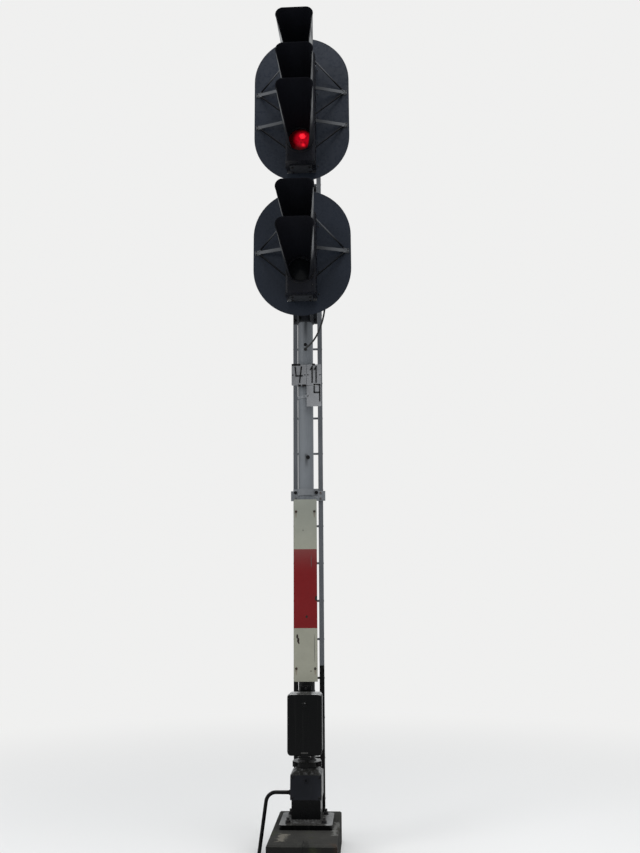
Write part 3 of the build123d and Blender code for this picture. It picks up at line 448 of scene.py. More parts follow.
def mast_coat(look):
    """Grey over black, with rain runs, dark runs below the lower bracket and below a plug, and painted shade down the
    left side.
    """
    shade = two_tone(BLACK, MAST_GREY, PAINT_LINE)(look)
    height, across = look.at(Z), look.at(X)
    run = abs(across + look.noise(7, 3) * 0.02 - 0.02).step(0.022, 0.004)
    low_run = height.step(3.24, 3.35) * height.step(3.4, 3.37)
    run = run * height.step(4.38, 4.62).most(low_run)
    rain = look.noise(1, 5, 0.65, look.stretched((42, 42, 1.6))).step(0.52, 0.7)
    # The left edge is darkened as painted shade; the runs are dark streaks.
    runs_and_shade = (run * 0.75).most(rain * 0.28).most(across.step(-0.046, -0.066) * 0.62)
    above = height.step(PAINT_LINE, PAINT_LINE + 0.1)
    return (runs_and_shade * above).mix(shade, (0.035, 0.037, 0.04))


def iron(look):
    """Black paint with pale dust on the ledges that also stands for sky light, brighter on the upper ledges; the
    middle under the box stays black as painted shade, wider the lower the ledge.
    """
    height = look.at(Z)
    hinge = height.step(0.78, 0.8) * height.step(1.25, 1.2)
    # Painted shade: the middle under the box stays black.
    shaded_middle = height.step(0.62, 0.75).blend(0.158, 0.06) + hinge * 0.1
    # The dust is lighter higher up as painted sky light.
    pale = height.step(0.55, 0.66).mix((0.34, 0.345, 0.35), (0.66, 0.67, 0.67))
    out = abs(look.at(X)) - shaded_middle + (look.noise(30, 6, 0.78) - 0.5) * 0.13
    thin = look.noise(48, 6, 0.75).step(0.48, 0.66) * hinge.blend(0.3, 0)
    grains = look.noise(75, 6, 0.7).step(0.35, 0.65).blend(0.5, 1)
    thick = out.step(-0.008, 0.012) * grains
    dust = thick.most(thin) * look.facing(Z).step(0.4, 0.8)
    return (dust * 0.85).mix(BLACK, pale)


DARK = {"sheen": 0.1, "streaks": 0.03}
PAINTS = {
    "black_iron": (iron, dict(gloss=0.3, dust=0.16, wear=0.2, **DARK)),
    "mast_grey": (mast_coat, dict(gloss=0.4, spread=0.18, streaks=0.1, sheen=0.16)),
    "bracket_steel": ((0.168, 0.178, 0.19), dict(gloss=0.42, wear=0.7, sheen=0.2)),
    "ladder_grey": (two_tone(BLACK, LADDER_GREY, LADDER_PAINT_LINE), dict(gloss=0.42, streaks=0.05, sheen=0.16)),
    "plate_grey": ((0.205, 0.21, 0.22), dict(gloss=0.5, streaks=0.2, wear=0.8, sheen=0.2)),
    "conduit_black": ((0.0016, 0.0018, 0.0022), dict(gloss=0.25, dust=0.2, **DARK)),
    "head_black": ((0.0055, 0.006, 0.009), dict(gloss=0.3, dust=0.3, **DARK)),
    "backboard_black": (blue_in_front, dict(gloss=0.3, dust=0.05, streaks=0.03, wear=0.35, spread=0.13, sheen=0.12)),
}
LOOKS = {name: paint(name, colour, **settings) for name, (colour, settings) in PAINTS.items()}
LOOKS.update({
    "concrete": concrete_look(),
    "galvanised": galvanised_look(),
    "board_white": striped_look(),
    "hood_black": hood_look(),
    "lens_red": red_lens_look(),
    "lens_dark": dark_lens_look(),
    "cable_rubber": rubber_look(),
    "gland_metal": metal_look("gland_metal", (0.05, 0.05, 0.052), 0.45),
})
STAYS = paint("stays_painted_light", painted_light, gloss=0.5, streaks=0, spread=0.35, sheen=0.04, wear=0.05, dust=0)
# The base cover is a lighter black than the casting: painted sky reflection on its sloping face.
SKY_LIT_COVER = paint("cover_charcoal_sky_lit", (0.0135, 0.015, 0.0195), gloss=0.4, spread=0.3, dust=0.3, **DARK)
STUD = paint("tarred_stud", (0.01, 0.01, 0.0115), gloss=0.45, dust=0.25, wear=0.7, sheen=0.2)
# A lighter black for the head brackets: painted light where the backboard shades them.
LIT_BRACKET = paint("bracket_black_lit", (0.02, 0.022, 0.026), gloss=0.4, dust=0.2, wear=0.3, sheen=0.2)
BLACKED = paint("black_fastener", (0.006, 0.006, 0.007), gloss=0.3, wear=0.8, edge=0.0006, **DARK)
ZINC = metal_look("fastener", (0.16, 0.16, 0.165), 0.42)
RUSTED = metal_look("rusty_fastener", (0.05, 0.045, 0.04), 0.6)
BRASS = metal_look("brass_screw", (0.45, 0.3, 0.09), 0.35)
LINING = hood_lining_look()
INK = paint("ink", (0.008, 0.008, 0.009), gloss=0.45, wear=0.4, edge=0.0005, **DARK)
BOARD_BROWN = paint("terminal_board", (0.11, 0.05, 0.022), gloss=0.5, wear=0.1, streaks=0)
PHENOLIC = paint("phenolic", (0.016, 0.014, 0.013), gloss=0.35, wear=0.1, streaks=0)


class Shape:
    """Loose forms gathered into one mesh piece, in metres in the frame. It has its slot's own look, or
    the materials given, and may stand for a node. All are finished together at the end."""

    pieces = []

    def __init__(self, name, slot, *materials, body=BODY, angle=34, node=None):
        self.mesh = bmesh.new()
        self.facts = name, slot, materials or [LOOKS[slot]], body, angle, node
        self.pieces.append(self)

    def ring(self, centre, out, side, radius, angles):
        return [self.mesh.verts.new(centre + (out * math.cos(a) + side * math.sin(a)) * radius) for a in angles]

    def lathe(self, base, axis, profile, sides=16, turn=0):
        """Rings of (radius, height) along an axis. A radius of 0 closes an end to a point;
        with none, the last ring joins the first."""
        up = Vector(axis).normalized()
        out = up.orthogonal().normalized()
        side = up.cross(out)
        angles = [turn + 2 * math.pi * i / sides for i in range(sides)]
        rings = [self.ring(Vector(base) + up * height, out, side, radius, angles if radius else angles[:1])
                 for radius, height in profile]
        pairs = list(zip(rings, rings[1:]))
        if len(rings[0]) > 1 and len(rings[-1]) > 1:
            pairs.append((rings[-1], rings[0]))
        for low, high in pairs:
            for i in range(sides):
                j = (i + 1) % sides
                corners = [low[i % len(low)], low[j % len(low)], high[j % len(high)], high[i % len(high)]]
                kept = [v for k, v in enumerate(corners) if v not in corners[:k]]
                if len(kept) > 2:
                    self.mesh.faces.new(kept)
        return self

    def slab(self, low, high, bevel):
        made = bmesh.ops.create_cube(self.mesh, size=1)["verts"]
        for vert in made:
            vert.co = Vector((a + (b - a) * (c + 0.5) for a, b, c in zip(low, high, vert.co)))
        if bevel:
            edges = list({e for v in made for e in v.link_edges})
            bmesh.ops.bevel(self.mesh, geom=edges, offset=bevel, segments=2, affect="EDGES", profile=0.6)
        return self

    def tube(self, points, radius, sides=8, closed=False):
        points = [Vector(p) for p in points]
        rings, last = [], None
        count = len(points)
        for i, point in enumerate(points):
            before = points[(i - 1) % count] if closed or i else point
            after = points[(i + 1) % count] if closed or i < count - 1 else point
            along = (after - before).normalized()
            out = along.orthogonal() if last is None else last - along * last.dot(along)
            out.normalize()
            last = out
            angles = [2 * math.pi * k / sides for k in range(sides)]
            rings.append(self.ring(point, out, along.cross(out), radius, angles))
        pairs = list(zip(rings, rings[1:])) + ([(rings[-1], rings[0])] if closed else [])
        for low, high in pairs:
            for k in range(sides):
                j = (k + 1) % sides
                self.mesh.faces.new((low[k], low[j], high[j], high[k]))
        if not closed:
            self.mesh.faces.new(rings[0][::-1])
            self.mesh.faces.new(rings[-1])
        return self

    def pin(self, base, axis, radius, length, sides):
        return self.lathe(base, axis, [(0, 0), (radius, 0), (radius, length), (0, length)], sides)

    def bolt(self, base, axis, size, washer=True, head="hex", turn=0):
        """A bolt head, nut with stud end, or round head, of a thread size in metres."""
        start = size * 0.2 if washer else 0
        if washer:
            self.pin(base, axis, size * 1.08, start, 18)
        if head == "round":
            crown = [(0, start), (size, start), (size * 0.92, start + size * 0.3),
                     (size * 0.6, start + size * 0.55), (0, start + size * 0.65)]
            return self.lathe(base, axis, crown, 16)
        top = start + size * (0.65 if head == "hex" else 0.8)
        self.lathe(base, axis, [(0, start), (size * 0.95, start), (size * 0.95, top - size * 0.12),
                                (size * 0.82, top), (0, top)], 6, turn)
        if head == "nut":
            end = top + size * 0.5
            self.lathe(base, axis, [(0, top), (size * 0.5, top), (size * 0.5, end - size * 0.08),
                                    (size * 0.42, end), (0, end)], 14)
        return self

    def through(self, base, axis, length, size, shank=0, sides=12, heads=("hex", "nut"), turn=0):
        """A bolt with its two ends a length apart, and the shank that shows between them."""
        base, axis = Vector(base), Vector(axis)
        if shank:
            self.pin(base, axis, shank, length, sides)
        self.bolt(base, -axis, size, head=heads[0], turn=turn)
        return self.bolt(base + axis * length, axis, size, head=heads[1])

    def threads(self, base, axis, radius, length, pitch=0.0025):
        """Raised turns on a stud."""
        count = int(length / pitch)
        profile = [(0, 0), (radius * 0.97, 0)]
        for i in range(count):
            profile += [(radius * 1.06, (i + 0.5) * pitch), (radius * 0.97, (i + 1) * pitch)]
        return self.lathe(base, axis, [*profile, (0, count * pitch)], 16)

    def turned(self, base, axis, profile, sides):
        """A lathe form whose profile is given in millimetres."""
        return self.lathe(base, axis, [(radius * MM, height * MM) for radius, height in profile], sides)

    def finish(self):
        name, slot, materials, body, angle, node = self.facts
        bmesh.ops.remove_doubles(self.mesh, verts=self.mesh.verts, dist=1e-7)
        bmesh.ops.recalc_face_normals(self.mesh, faces=self.mesh.faces)
        data = bpy.data.meshes.new(name)
        self.mesh.to_mesh(data)
        self.mesh.free()
        data.polygons.foreach_set("use_smooth", [True] * len(data.polygons))
        data.set_sharp_from_angle(angle=math.radians(angle))
        for material in materials:
            data.materials.append(material)
        made = add(name, data)
        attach(made, body)
        if node:
            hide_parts(node)


def rounded_loop(half_width, low, high, corner, y, steps=5):
    """Points round an upright rectangle with rounded corners."""
    points = []
    for side, up, start in ((1, 1, 0), (-1, 1, 90), (-1, -1, 180), (1, -1, 270)):
        centre_z = high - corner if up > 0 else low + corner
        for x, z in arc(side * (half_width - corner), centre_z, corner, start, start + 90, steps):
            points.append((x, y, z))
    return points


def dress_base():
    """Threads, cover seal, screws and key post, clamp bolts, collar, mastic and the neck's lip."""
    top = heights("anchor_bolts")[1]
    threads = Shape("anchor_threads", "galvanised", STUD)
    for x, y in product((-0.15, 0.15), repeat=2):
        threads.threads((x, y, top - 0.0215), UP, 0.012, 0.0205)

    # The cover leans back with the casting's front
    slope = math.atan2(0.022, 0.192)
    out = Vector((0, -math.cos(slope), math.sin(slope)))
    up = Vector((0, math.sin(slope), math.cos(slope)))

    def on_cover(x, height, off):
        return Vector((0, -0.157, 0.567)) + Vector((x, 0, 0)) + up * height + out * off

    loop = [on_cover(x, z, 0.0012) for x, _, z in rounded_loop(0.1297, -0.0953, 0.0953, 0.0105, 0)]
    Shape("base_cover_seal", "cable_rubber").tube(loop, 0.0016, 6, closed=True)
    screws = Shape("base_cover_screws", "black_iron", BLACKED)
    for x, height in product((-0.112, 0.112), (-0.078, 0.078)):
        screws.bolt(on_cover(x, height, 0.01), out, 0.0085, head="round")
    lock_height = 0.0546
    key = Shape("base_cover_key_post", "galvanised", BLACKED)
    key.turned(on_cover(0, lock_height, 0.0028), out,
               [(0, 0), (5.2, 0), (5.2, 10.5), (4.2, 11.5), (0, 11.5)], 3)
    key.turned(on_cover(0, lock_height, 0.01), out, [(20.5, -0.3), (24, -0.3), (24, 1.2), (20.5, 2.6)], 28)

    low, high = heights("socket_clamp")
    bolts = Shape("socket_clamp_bolts", "black_iron", BLACKED)
    for x in (-0.1075, 0.1075):
        bolts.through((x, -0.016, (low + high) / 2), BACK, 0.032, 0.0125, 0.006, turn=0.3)
    collar = [(70.3, 0.2), (118.5, 0.2), (120, 1.5), (120, 4.5), (119, 5.5), (70.3, 5.5)]
    Shape("socket_collar", "black_iron").turned((0, 0, high), UP, collar, 64)
    mastic = [(70.1, 16.5), (71.5, 16.5), (74.5, 14), (78, 8.5), (81.5, 5.5), (81.5, 5), (70.1, 5)]
    Shape("mast_foot_mastic", "cable_rubber").turned((0, 0, high), UP, mastic, 48)
    lip = [(94.5, -4), (98.5, -3.5), (98.5, 1), (94.5, 1.2)]
    Shape("neck_lip", "black_iron").turned((0, 0, low), UP, lip, 48)


def dress_conduit():
    z = 0.497
    locknut = Shape("conduit_locknut", "conduit_black", BLACKED)
    locknut.turned((-0.143, 0, z), (-1, 0, 0),
                   [(16.2, 0), (20.5, 0), (21, 1.5), (21, 10), (19.5, 12), (16.2, 12)], 24)
    locknut.threads((-0.155, 0, z), (-1, 0, 0), 0.0163, 0.014, 0.0028)


def dress_box():
    """Seal, cover bead, key post, hinge pin ends, lug bolt, and the terminal board and earth stud inside."""
    bottom, top = 0.841, heights("cable_box")[1]
    loop = rounded_loop(0.1405, bottom + 0.002, top - 0.002, 0.028, -0.2617)
    Shape("cable_box_seal", "cable_rubber").tube(loop, 0.0017, 6, closed=True)

    # The bead runs round the cover from one end of the hinge to the other
    loop = rounded_loop(0.1428, bottom - 0.0003, top + 0.0003, 0.03, -0.2665)
    last_corner, hinge_end = loop[18:], 0.056
    ends = [(x, *last_corner[0][1:]) for x in (hinge_end, -hinge_end)]
    bead = [ends[0], *last_corner, *loop[:18], ends[1]]
    Shape("box_cover_bead", "black_iron", body=COVER_BODY).tube(bead, 0.0028, 8)
    lock, front = middle("box_lock"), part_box("box_lock")[0].y
    post = Shape("box_lock_key_post", "galvanised", BLACKED, body=COVER_BODY)
    post.turned((lock.x, front, lock.z), FRONT,
                [(9.5, -0.5), (12.5, -0.5), (12.5, 1.6), (9.5, 2.2), (9.5, -0.5)], 28)
    post.turned((lock.x, front - 0.0001, lock.z), FRONT, [(0, 0), (5.2, 0), (5.2, 1.2), (0, 1.4)], 3)
    collar = [(20.5, 0.2), (25.5, 0.2), (25.5, 2.2), (23.5, 3.8), (20.5, 4.2)]
    Shape("box_lock_collar", "black_iron", body=COVER_BODY).turned((lock.x, front + 0.014, lock.z), FRONT, collar, 32)
    pins = Shape("box_hinge_pin_ends", "galvanised", ZINC, body=COVER_BODY)
    for side in SIDES:
        pins.turned((side * 0.0495, -0.304, 0.835), (side, 0, 0),
                    [(0, 0), (6.2, 0), (6.2, 2.2), (4.5, 4), (0, 4.5)], 16)
    Shape("box_lug_bolt", "black_iron", BLACKED).bolt((0, -0.11, 1.3535), FRONT, 0.0115, turn=0.2)

    Shape("terminal_board", "black_iron", BOARD_BROWN).slab((-0.112, -0.1185, 0.885), (0.112, -0.1138, 1.29), 0.0012)
    blocks = Shape("terminal_blocks", "black_iron", PHENOLIC)
    screws = Shape("terminal_screws", "galvanised", BRASS)
    rows, pitch, lowest = 10, 0.036, 0.925
    for x, row in product((-0.058, 0.058), range(rows)):
        z = lowest + row * pitch
        blocks.slab((x - 0.036, -0.1395, z - 0.0145), (x + 0.036, -0.118, z + 0.0145), 0.0016)
        blocks.slab((x - 0.038, -0.147, z + 0.015), (x + 0.038, -0.118, z + 0.019), 0.0006)
        for side in (-0.021, 0.021):
            screws.bolt((x + side, -0.1395, z), FRONT, 0.0052, head="round")
    for x, z in product((-0.104, 0.104), (0.897, 1.278)):
        screws.bolt((x, -0.1185, z), FRONT, 0.0055, head="round")
    Shape("box_earth_stud", "galvanised", BRASS).bolt((0.1385, -0.19, 0.872), (-1, 0, 0), 0.0075, head="nut")


def dress_bands():
    """The bolt through the two ears at the back of each thin band."""
    bolts = Shape("band_bolts", "bracket_steel", ZINC)
    for z in (0.901, 1.311, 1.521, 2.864, 4.111, 3.914):
        bolts.through((-0.012, 0.0845, z), (1, 0, 0), 0.024, 0.0078, 0.0039, 10, ("nut", "hex"))


def dress_board():
    """Corner bolts of the striped board with their nuts on the bars behind."""
    low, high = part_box("striped_board")
    front = Shape("board_bolts", "board_white", RUSTED)
    back = Shape("board_nuts", "bracket_steel", RUSTED)
    for x, z in BOARD_BOLTS:
        front.bolt((x, low.y, z), FRONT, 0.0098, turn=x * 3)
        back.bolt((x, high.y + 0.005, z), BACK, 0.0098, head="nut")


def dress_ladder():
    """Peened rung ends, rung welds, foot bolts and the bolts of the clamps."""
    low, high = heights("ladder_rungs")
    rung_radius, pitch = 0.01, 0.34
    y = middle("ladder_rungs").y
    ends = Shape("rung_ends", "ladder_grey")
    welds = Shape("rung_welds", "ladder_grey")
    for k in range(round((high - low - 2 * rung_radius) / pitch) + 1):
        z = low + rung_radius + pitch * k
        for side in SIDES:
            ends.turned((side * 0.1375, y, z), (side, 0, 0),
                        [(0, -0.5), (8.8, -0.5), (8.4, 1.2), (6, 2.6), (0, 3.2)], 14)
            welds.turned((side * 0.1325, y, z), (-side, 0, 0),
                         [(9.8, 0), (14.2, 0), (13.6, 1.8), (11.2, 4), (9.8, 4.8)], 16)

    feet = Shape("ladder_foot_bolts", "galvanised", ZINC)
    clamps = Shape("ladder_clamp_bolts", "bracket_steel", BLACKED)
    stiles = Shape("ladder_stile_bolts", "bracket_steel", ZINC)
    for x in (-0.102, 0.102):
        feet.bolt((x, 0.316, 0.258), UP, 0.0105, head="nut", turn=0.4)
    for z in (3.044, 5.61, 6.905):
        for x in (-0.0945, 0.0945):
            clamps.through((x, -0.007, z), BACK, 0.014, 0.014, 0.007, turn=0.5)
        for x, rise in product((-0.1165, 0.1165), (-0.026, 0.026)):
            stiles.through((x, 0.275, z + rise), BACK, 0.013, 0.01)


def dress_mast():
    """Plugs in the mast's spare holes, the cable's grommet and the cap's set screws."""
    plugs = Shape("mast_plugs", "mast_grey", BLACKED)
    for x, z, size in ((0.004, 4.406, 0.0165), (0.036, 3.848, 0.0085), (0.024, 3.357, 0.019)):
        out = Vector((x, -math.sqrt(0.07**2 - x * x), 0)).normalized()
        plugs.lathe(out * 0.0695 + Vector((0, 0, z)), out,
                    [(0, 0), (size * 0.95, 0), (size * 0.9, 0.003), (size * 0.6, 0.0055), (0, 0.0065)], 18)
    grommet = [(8.2, 0), (15, 2), (15.5, 8.5), (13.5, 10.5), (9.5, 11.5), (8.2, 10.5)]
    Shape("cable_grommet", "cable_rubber").turned((0.003, -0.064, 4.361), (0.011, -0.048, 0.005), grommet, 24)
    cap = Shape("cap_screws", "mast_grey", ZINC)
    for x, y in arc(0, 0, 1, 30, 270, 2):
        out = Vector((x, y, 0))
        cap.bolt(out * 0.0738 + Vector((0, 0, 7.156)), out, 0.0058, washer=False)


CABLE_ROUTE = ((160, -300, 4834), (197, -297, 4778), (198, -280, 4676), (170, -250, 4556), (120, -205, 4450),
               (58, -150, 4384), (14, -112, 4366), (3, -64, 4361))


def dress_gland():
    start, after = (Vector(point) * MM for point in CABLE_ROUTE[:2])
    along = (after - start).normalized()
    nut = Shape("cable_gland_nut", "gland_metal")
    nut.turned(start - along * 0.02, along, [(0, 0), (18.5, 0), (19.5, 1), (19.5, 9), (18.5, 10), (0, 10)], 6)
    nut.turned(start - along * 0.001, along, [(0, 0), (13.5, 0), (13, 3), (10, 6), (8.4, 7), (0, 7)], 20)


# Strokes of each figure, as shares of its width and height
DIGITS = {
    "4": ((0, 1, 0.12, 0.42), (0.12, 0.42, 0.98, 0.42), (0.86, 1, 0.6, 0)),
    "1": ((0, 0.84, 0.5, 1), (0.5, 1, 0.5, 0)),
    "9": ((0.95, 0.52, 0.05, 0.52), (0.05, 0.52, 0.05, 1), (0.05, 1, 0.95, 1), (0.95, 1, 0.95, 0)),
}
STROKE = 0.0115


def dress_plates():
    """Plain numbers in bent black strip, screws at the sides and clips at the strap ends."""
    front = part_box("number_plate_left")[0].y
    strips = Shape("plate_numbers", "plate_grey", INK)
    figures = (("4", -0.088, 4.042, 0.066, 0.143), ("1", 0.052, 4.042, 0.03, 0.143),
               ("1", 0.088, 4.042, 0.03, 0.143), ("9", 0.082, 3.868, 0.056, 0.15))
    for figure, left, bottom, width, height in figures:
        for x0, z0, x1, z1 in DIGITS[figure]:
            start = Vector((left + width * x0, 0, bottom + height * z0))
            end = Vector((left + width * x1, 0, bottom + height * z1))
            run = (end - start).normalized() * STROKE / 2
            side = Vector((run.z, 0, -run.x))
            corners = (start - run + side, end + run + side, end + run - side, start - run - side)
            back, face = ([strips.mesh.verts.new((c.x, y, c.z)) for c in corners]
                          for y in (front + 0.0003, front - 0.0035))
            for k in range(4):
                m = (k + 1) % 4
                strips.mesh.faces.new((back[k], back[m], face[m], face[k]))
            strips.mesh.faces.new(face)
            strips.mesh.faces.new(back[::-1])
    screws = Shape("plate_screws", "plate_grey", BLACKED)
    for node in ("number_plate_left", "number_plate_right", "number_plate_lower"):
        low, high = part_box(node)
        for x in (low.x + 0.012, high.x - 0.012):
            screws.through((x, low.y, (low.z + high.z) / 2), BACK, high.y + 0.003 - low.y, 0.0052,
                           heads=("round", "nut"))
    clips = Shape("plate_clips", "plate_grey", BLACKED)
    for x, z, half in ((-0.08, 4.2085, 0.04), (-0.05, 4.013, 0.013), (-0.008, 4.013, 0.016),
                       (0.08, 4.2085, 0.013)):
        clips.slab((x - half, front - 0.004, z - 0.01), (x + half, front + 0.006, z + 0.008), 0.0012)
        clips.bolt((x, front - 0.004, z - 0.001), FRONT, 0.0055)


def dress_brackets(head, low, high):
    """Bolts through the saddles' ears and through the tongues into the housing."""
    ears = Shape(head + "_saddle_bolts", "head_black", BLACKED)
    tongues = Shape(head + "_tongue_bolts", "head_black", BLACKED)
    for saddle, x, rise in product((high - 0.0347, low - 0.1053), (-0.0965, 0.0965), (0.034, 0.106)):
        ears.through((x, -0.016, saddle + rise), BACK, 0.032, 0.012, 0.006, 10, turn=rise)
    for x, y in product((-0.078, 0.078), (-0.405, -0.492)):
        tongues.bolt((x, y, high + 0.012), UP, 0.0115, turn=y)
        tongues.bolt((x, y, low - 0.012), DOWN, 0.0115, turn=x)


def dress_housing(head, lamps):
    """Seams between the lamp modules, face screws, lens bezels, door seals, hinges and latches."""
    seams = Shape(head + "_housing_seams", "cable_rubber")
    for z in [(a + b) / 2 for a, b in zip(lamps, lamps[1:])]:
        seams.slab((-0.11, -0.6009, z - 0.0016), (0.11, -0.598, z + 0.0016), 0)
        for x in (-0.1322, 0.1322):
            seams.slab((x - 0.0006, -0.404, z - 0.0016), (x + 0.0006, -0.28, z + 0.0016), 0)

    screws = Shape(head + "_face_screws", "head_black", BLACKED)
    bezels = Shape(head + "_lens_bezels", "head_black")
    bezel = [(103.5, -6), (104.5, 0.2), (106, 4.2), (110, 5.5), (114, 4.8), (116, 2), (116.5, -0.5)]
    for lamp in lamps:
        for x, rise in product((-0.10416, 0.10416), (-0.146, 0.146)):
            screws.bolt((x, LAMP_FACE, lamp + rise), FRONT, 0.0062, head="round")
        bezels.turned((0, LAMP_FACE, lamp), FRONT, bezel, 56)
        for x, z in arc(0, lamp, 0.1105, 90, 330, 2):
            screws.bolt((x, LAMP_FACE - 0.0052, z), FRONT, 0.004, washer=False, head="round")

    seals = Shape(head + "_door_seals", "cable_rubber")
    handles = Shape(head + "_door_handles", "head_black", BLACKED)
    hinges = Shape(head + "_door_hinges", "head_black", BLACKED)
    hinge_x, hinge_y = -0.122, -0.244
    for lamp in lamps:
        seals.tube(rounded_loop(0.1222, lamp - 0.1542, lamp + 0.1542, 0.0245, -0.2592), 0.0024, 6, closed=True)
        for z in (lamp - 0.095, lamp + 0.095):
            hinges.slab((-0.12, -0.2442, z - 0.024), (-0.086, -0.2412, z + 0.024), 0.0008)
            for side in SIDES:
                hinges.bolt((-0.096, -0.2412, z + side * 0.014), BACK, 0.0045, head="round", washer=False)
                hinges.turned((hinge_x, hinge_y, z + side * 0.026), (0, 0, side),
                              [(0, 0), (6.2, 0), (6.2, 2), (4, 4.5), (0, 5)], 14)
                hinges.turned((hinge_x, hinge_y, z + side * 0.009), UP,
                              [(7.8, -0.8), (8.6, -0.8), (8.6, 0.8), (7.8, 0.8)], 18)
        handles.turned((0.105, -0.232, lamp), BACK, [(0, 0), (12.5, 0), (12.5, 4), (9, 8), (0, 9)], 20)
        handles.slab((0.0985, -0.229, lamp - 0.062), (0.1115, -0.2215, lamp + 0.008), 0.0022)
        handles.bolt((0.105, -0.2215, lamp), BACK, 0.005, washer=False, head="round")


def dress_backboard(head, low, high):
    """Rim bead, frame and screws round the cut-out, and a vertical stiffener behind each side."""
    bottom, top = heights(head + "_backboard")
    radius, steps = 0.439, 40
    rim = arc(0, top - 0.44, radius, 0, 180, steps) + arc(0, bottom + 0.44, radius, 180, 360, steps)
    Shape(head + "_backboard_rim", "backboard_black").tube([(x, -0.3785, z) for x, z in rim], 0.0027, 8, closed=True)

    inner = 0.1338
    bars = Shape(head + "_backboard_frame", "bracket_steel")
    lowest, highest = low - 0.0343, high + 0.0343
    for side in SIDES:
        for outer, back in ((0.16, -0.374), (0.1368, -0.35)):
            left, right = sorted((side * inner, side * outer))
            bars.slab((left, -0.377, lowest), (right, back, highest), 0.0006)
    for below, above in ((high + 0.0131, highest), (lowest, low - 0.0131)):
        bars.slab((-0.1337, -0.377, below), (0.1337, -0.374, above), 0.0006)
    screws = Shape(head + "_backboard_screws", "backboard_black", BLACKED)
    nuts = Shape(head + "_backboard_nuts", "bracket_steel", ZINC)
    count = 5 if head == "upper" else 4
    for side, k in product(SIDES, range(count)):
        z = low + 0.05 + (high - low - 0.1) * k / (count - 1)
        screws.bolt((side * 0.149, -0.38, z), FRONT, 0.006, head="round")
        nuts.bolt((side * 0.149, -0.374, z), BACK, 0.006, head="nut")


def dress_stays(head, rows, low, high):
    """Pad bolts on the board, and tabs on the housing where bars and rods end."""
    pads = Shape(head + "_pad_bolts", "head_black", BLACKED)
    tabs = Shape(head + "_stay_tabs", "head_black")
    half = 0.024
    for (z, slopes), side in product(rows, SIDES):
        for rise in (-0.0135, 0.0135):
            pads.through((side * 0.4145, -0.385, z + rise), BACK, 0.008, 0.0055)
        for slope in (0, *slopes):
            centre = z + slope * 0.287
            bottom, top = max(centre - half, low + 0.002), min(centre + half, high - 0.002)
            if top - bottom < 0.03:
                bottom, top = (high - 0.04, high - 0.002) if slope > 0 else (low + 0.002, low + 0.04)
            left, right = sorted((side * 0.1315, side * 0.1362))
            tabs.slab((left, -0.518, bottom), (right, -0.462, top), 0.001)
            tabs.bolt((side * 0.1362, -0.5105, (bottom + top) / 2), (side, 0, 0), 0.0048, washer=False)


def hood_outline(share, z, wall, steps=14):
    """Points round the hood at a share of its length, outer face less wall."""
    flat = 0.016 + (0.194 - 0.016) * share
    side = 0.01 + (0.164 - 0.01) * share
    corner = 0.114 + (0.062 - 0.114) * share - wall
    fall = side * math.tan(math.radians(30))
    points = []
    for across, up, start, end in ((1, -1, -90, -30), (1, 1, -30, 90), (-1, 1, 90, 210), (-1, -1, 210, 270)):
        corner_x = across * (flat / 2 - (fall if up < 0 else 0))
        points += arc(corner_x, z + 0.074 * share + up * side / 2, corner, start, end, steps)
    return points


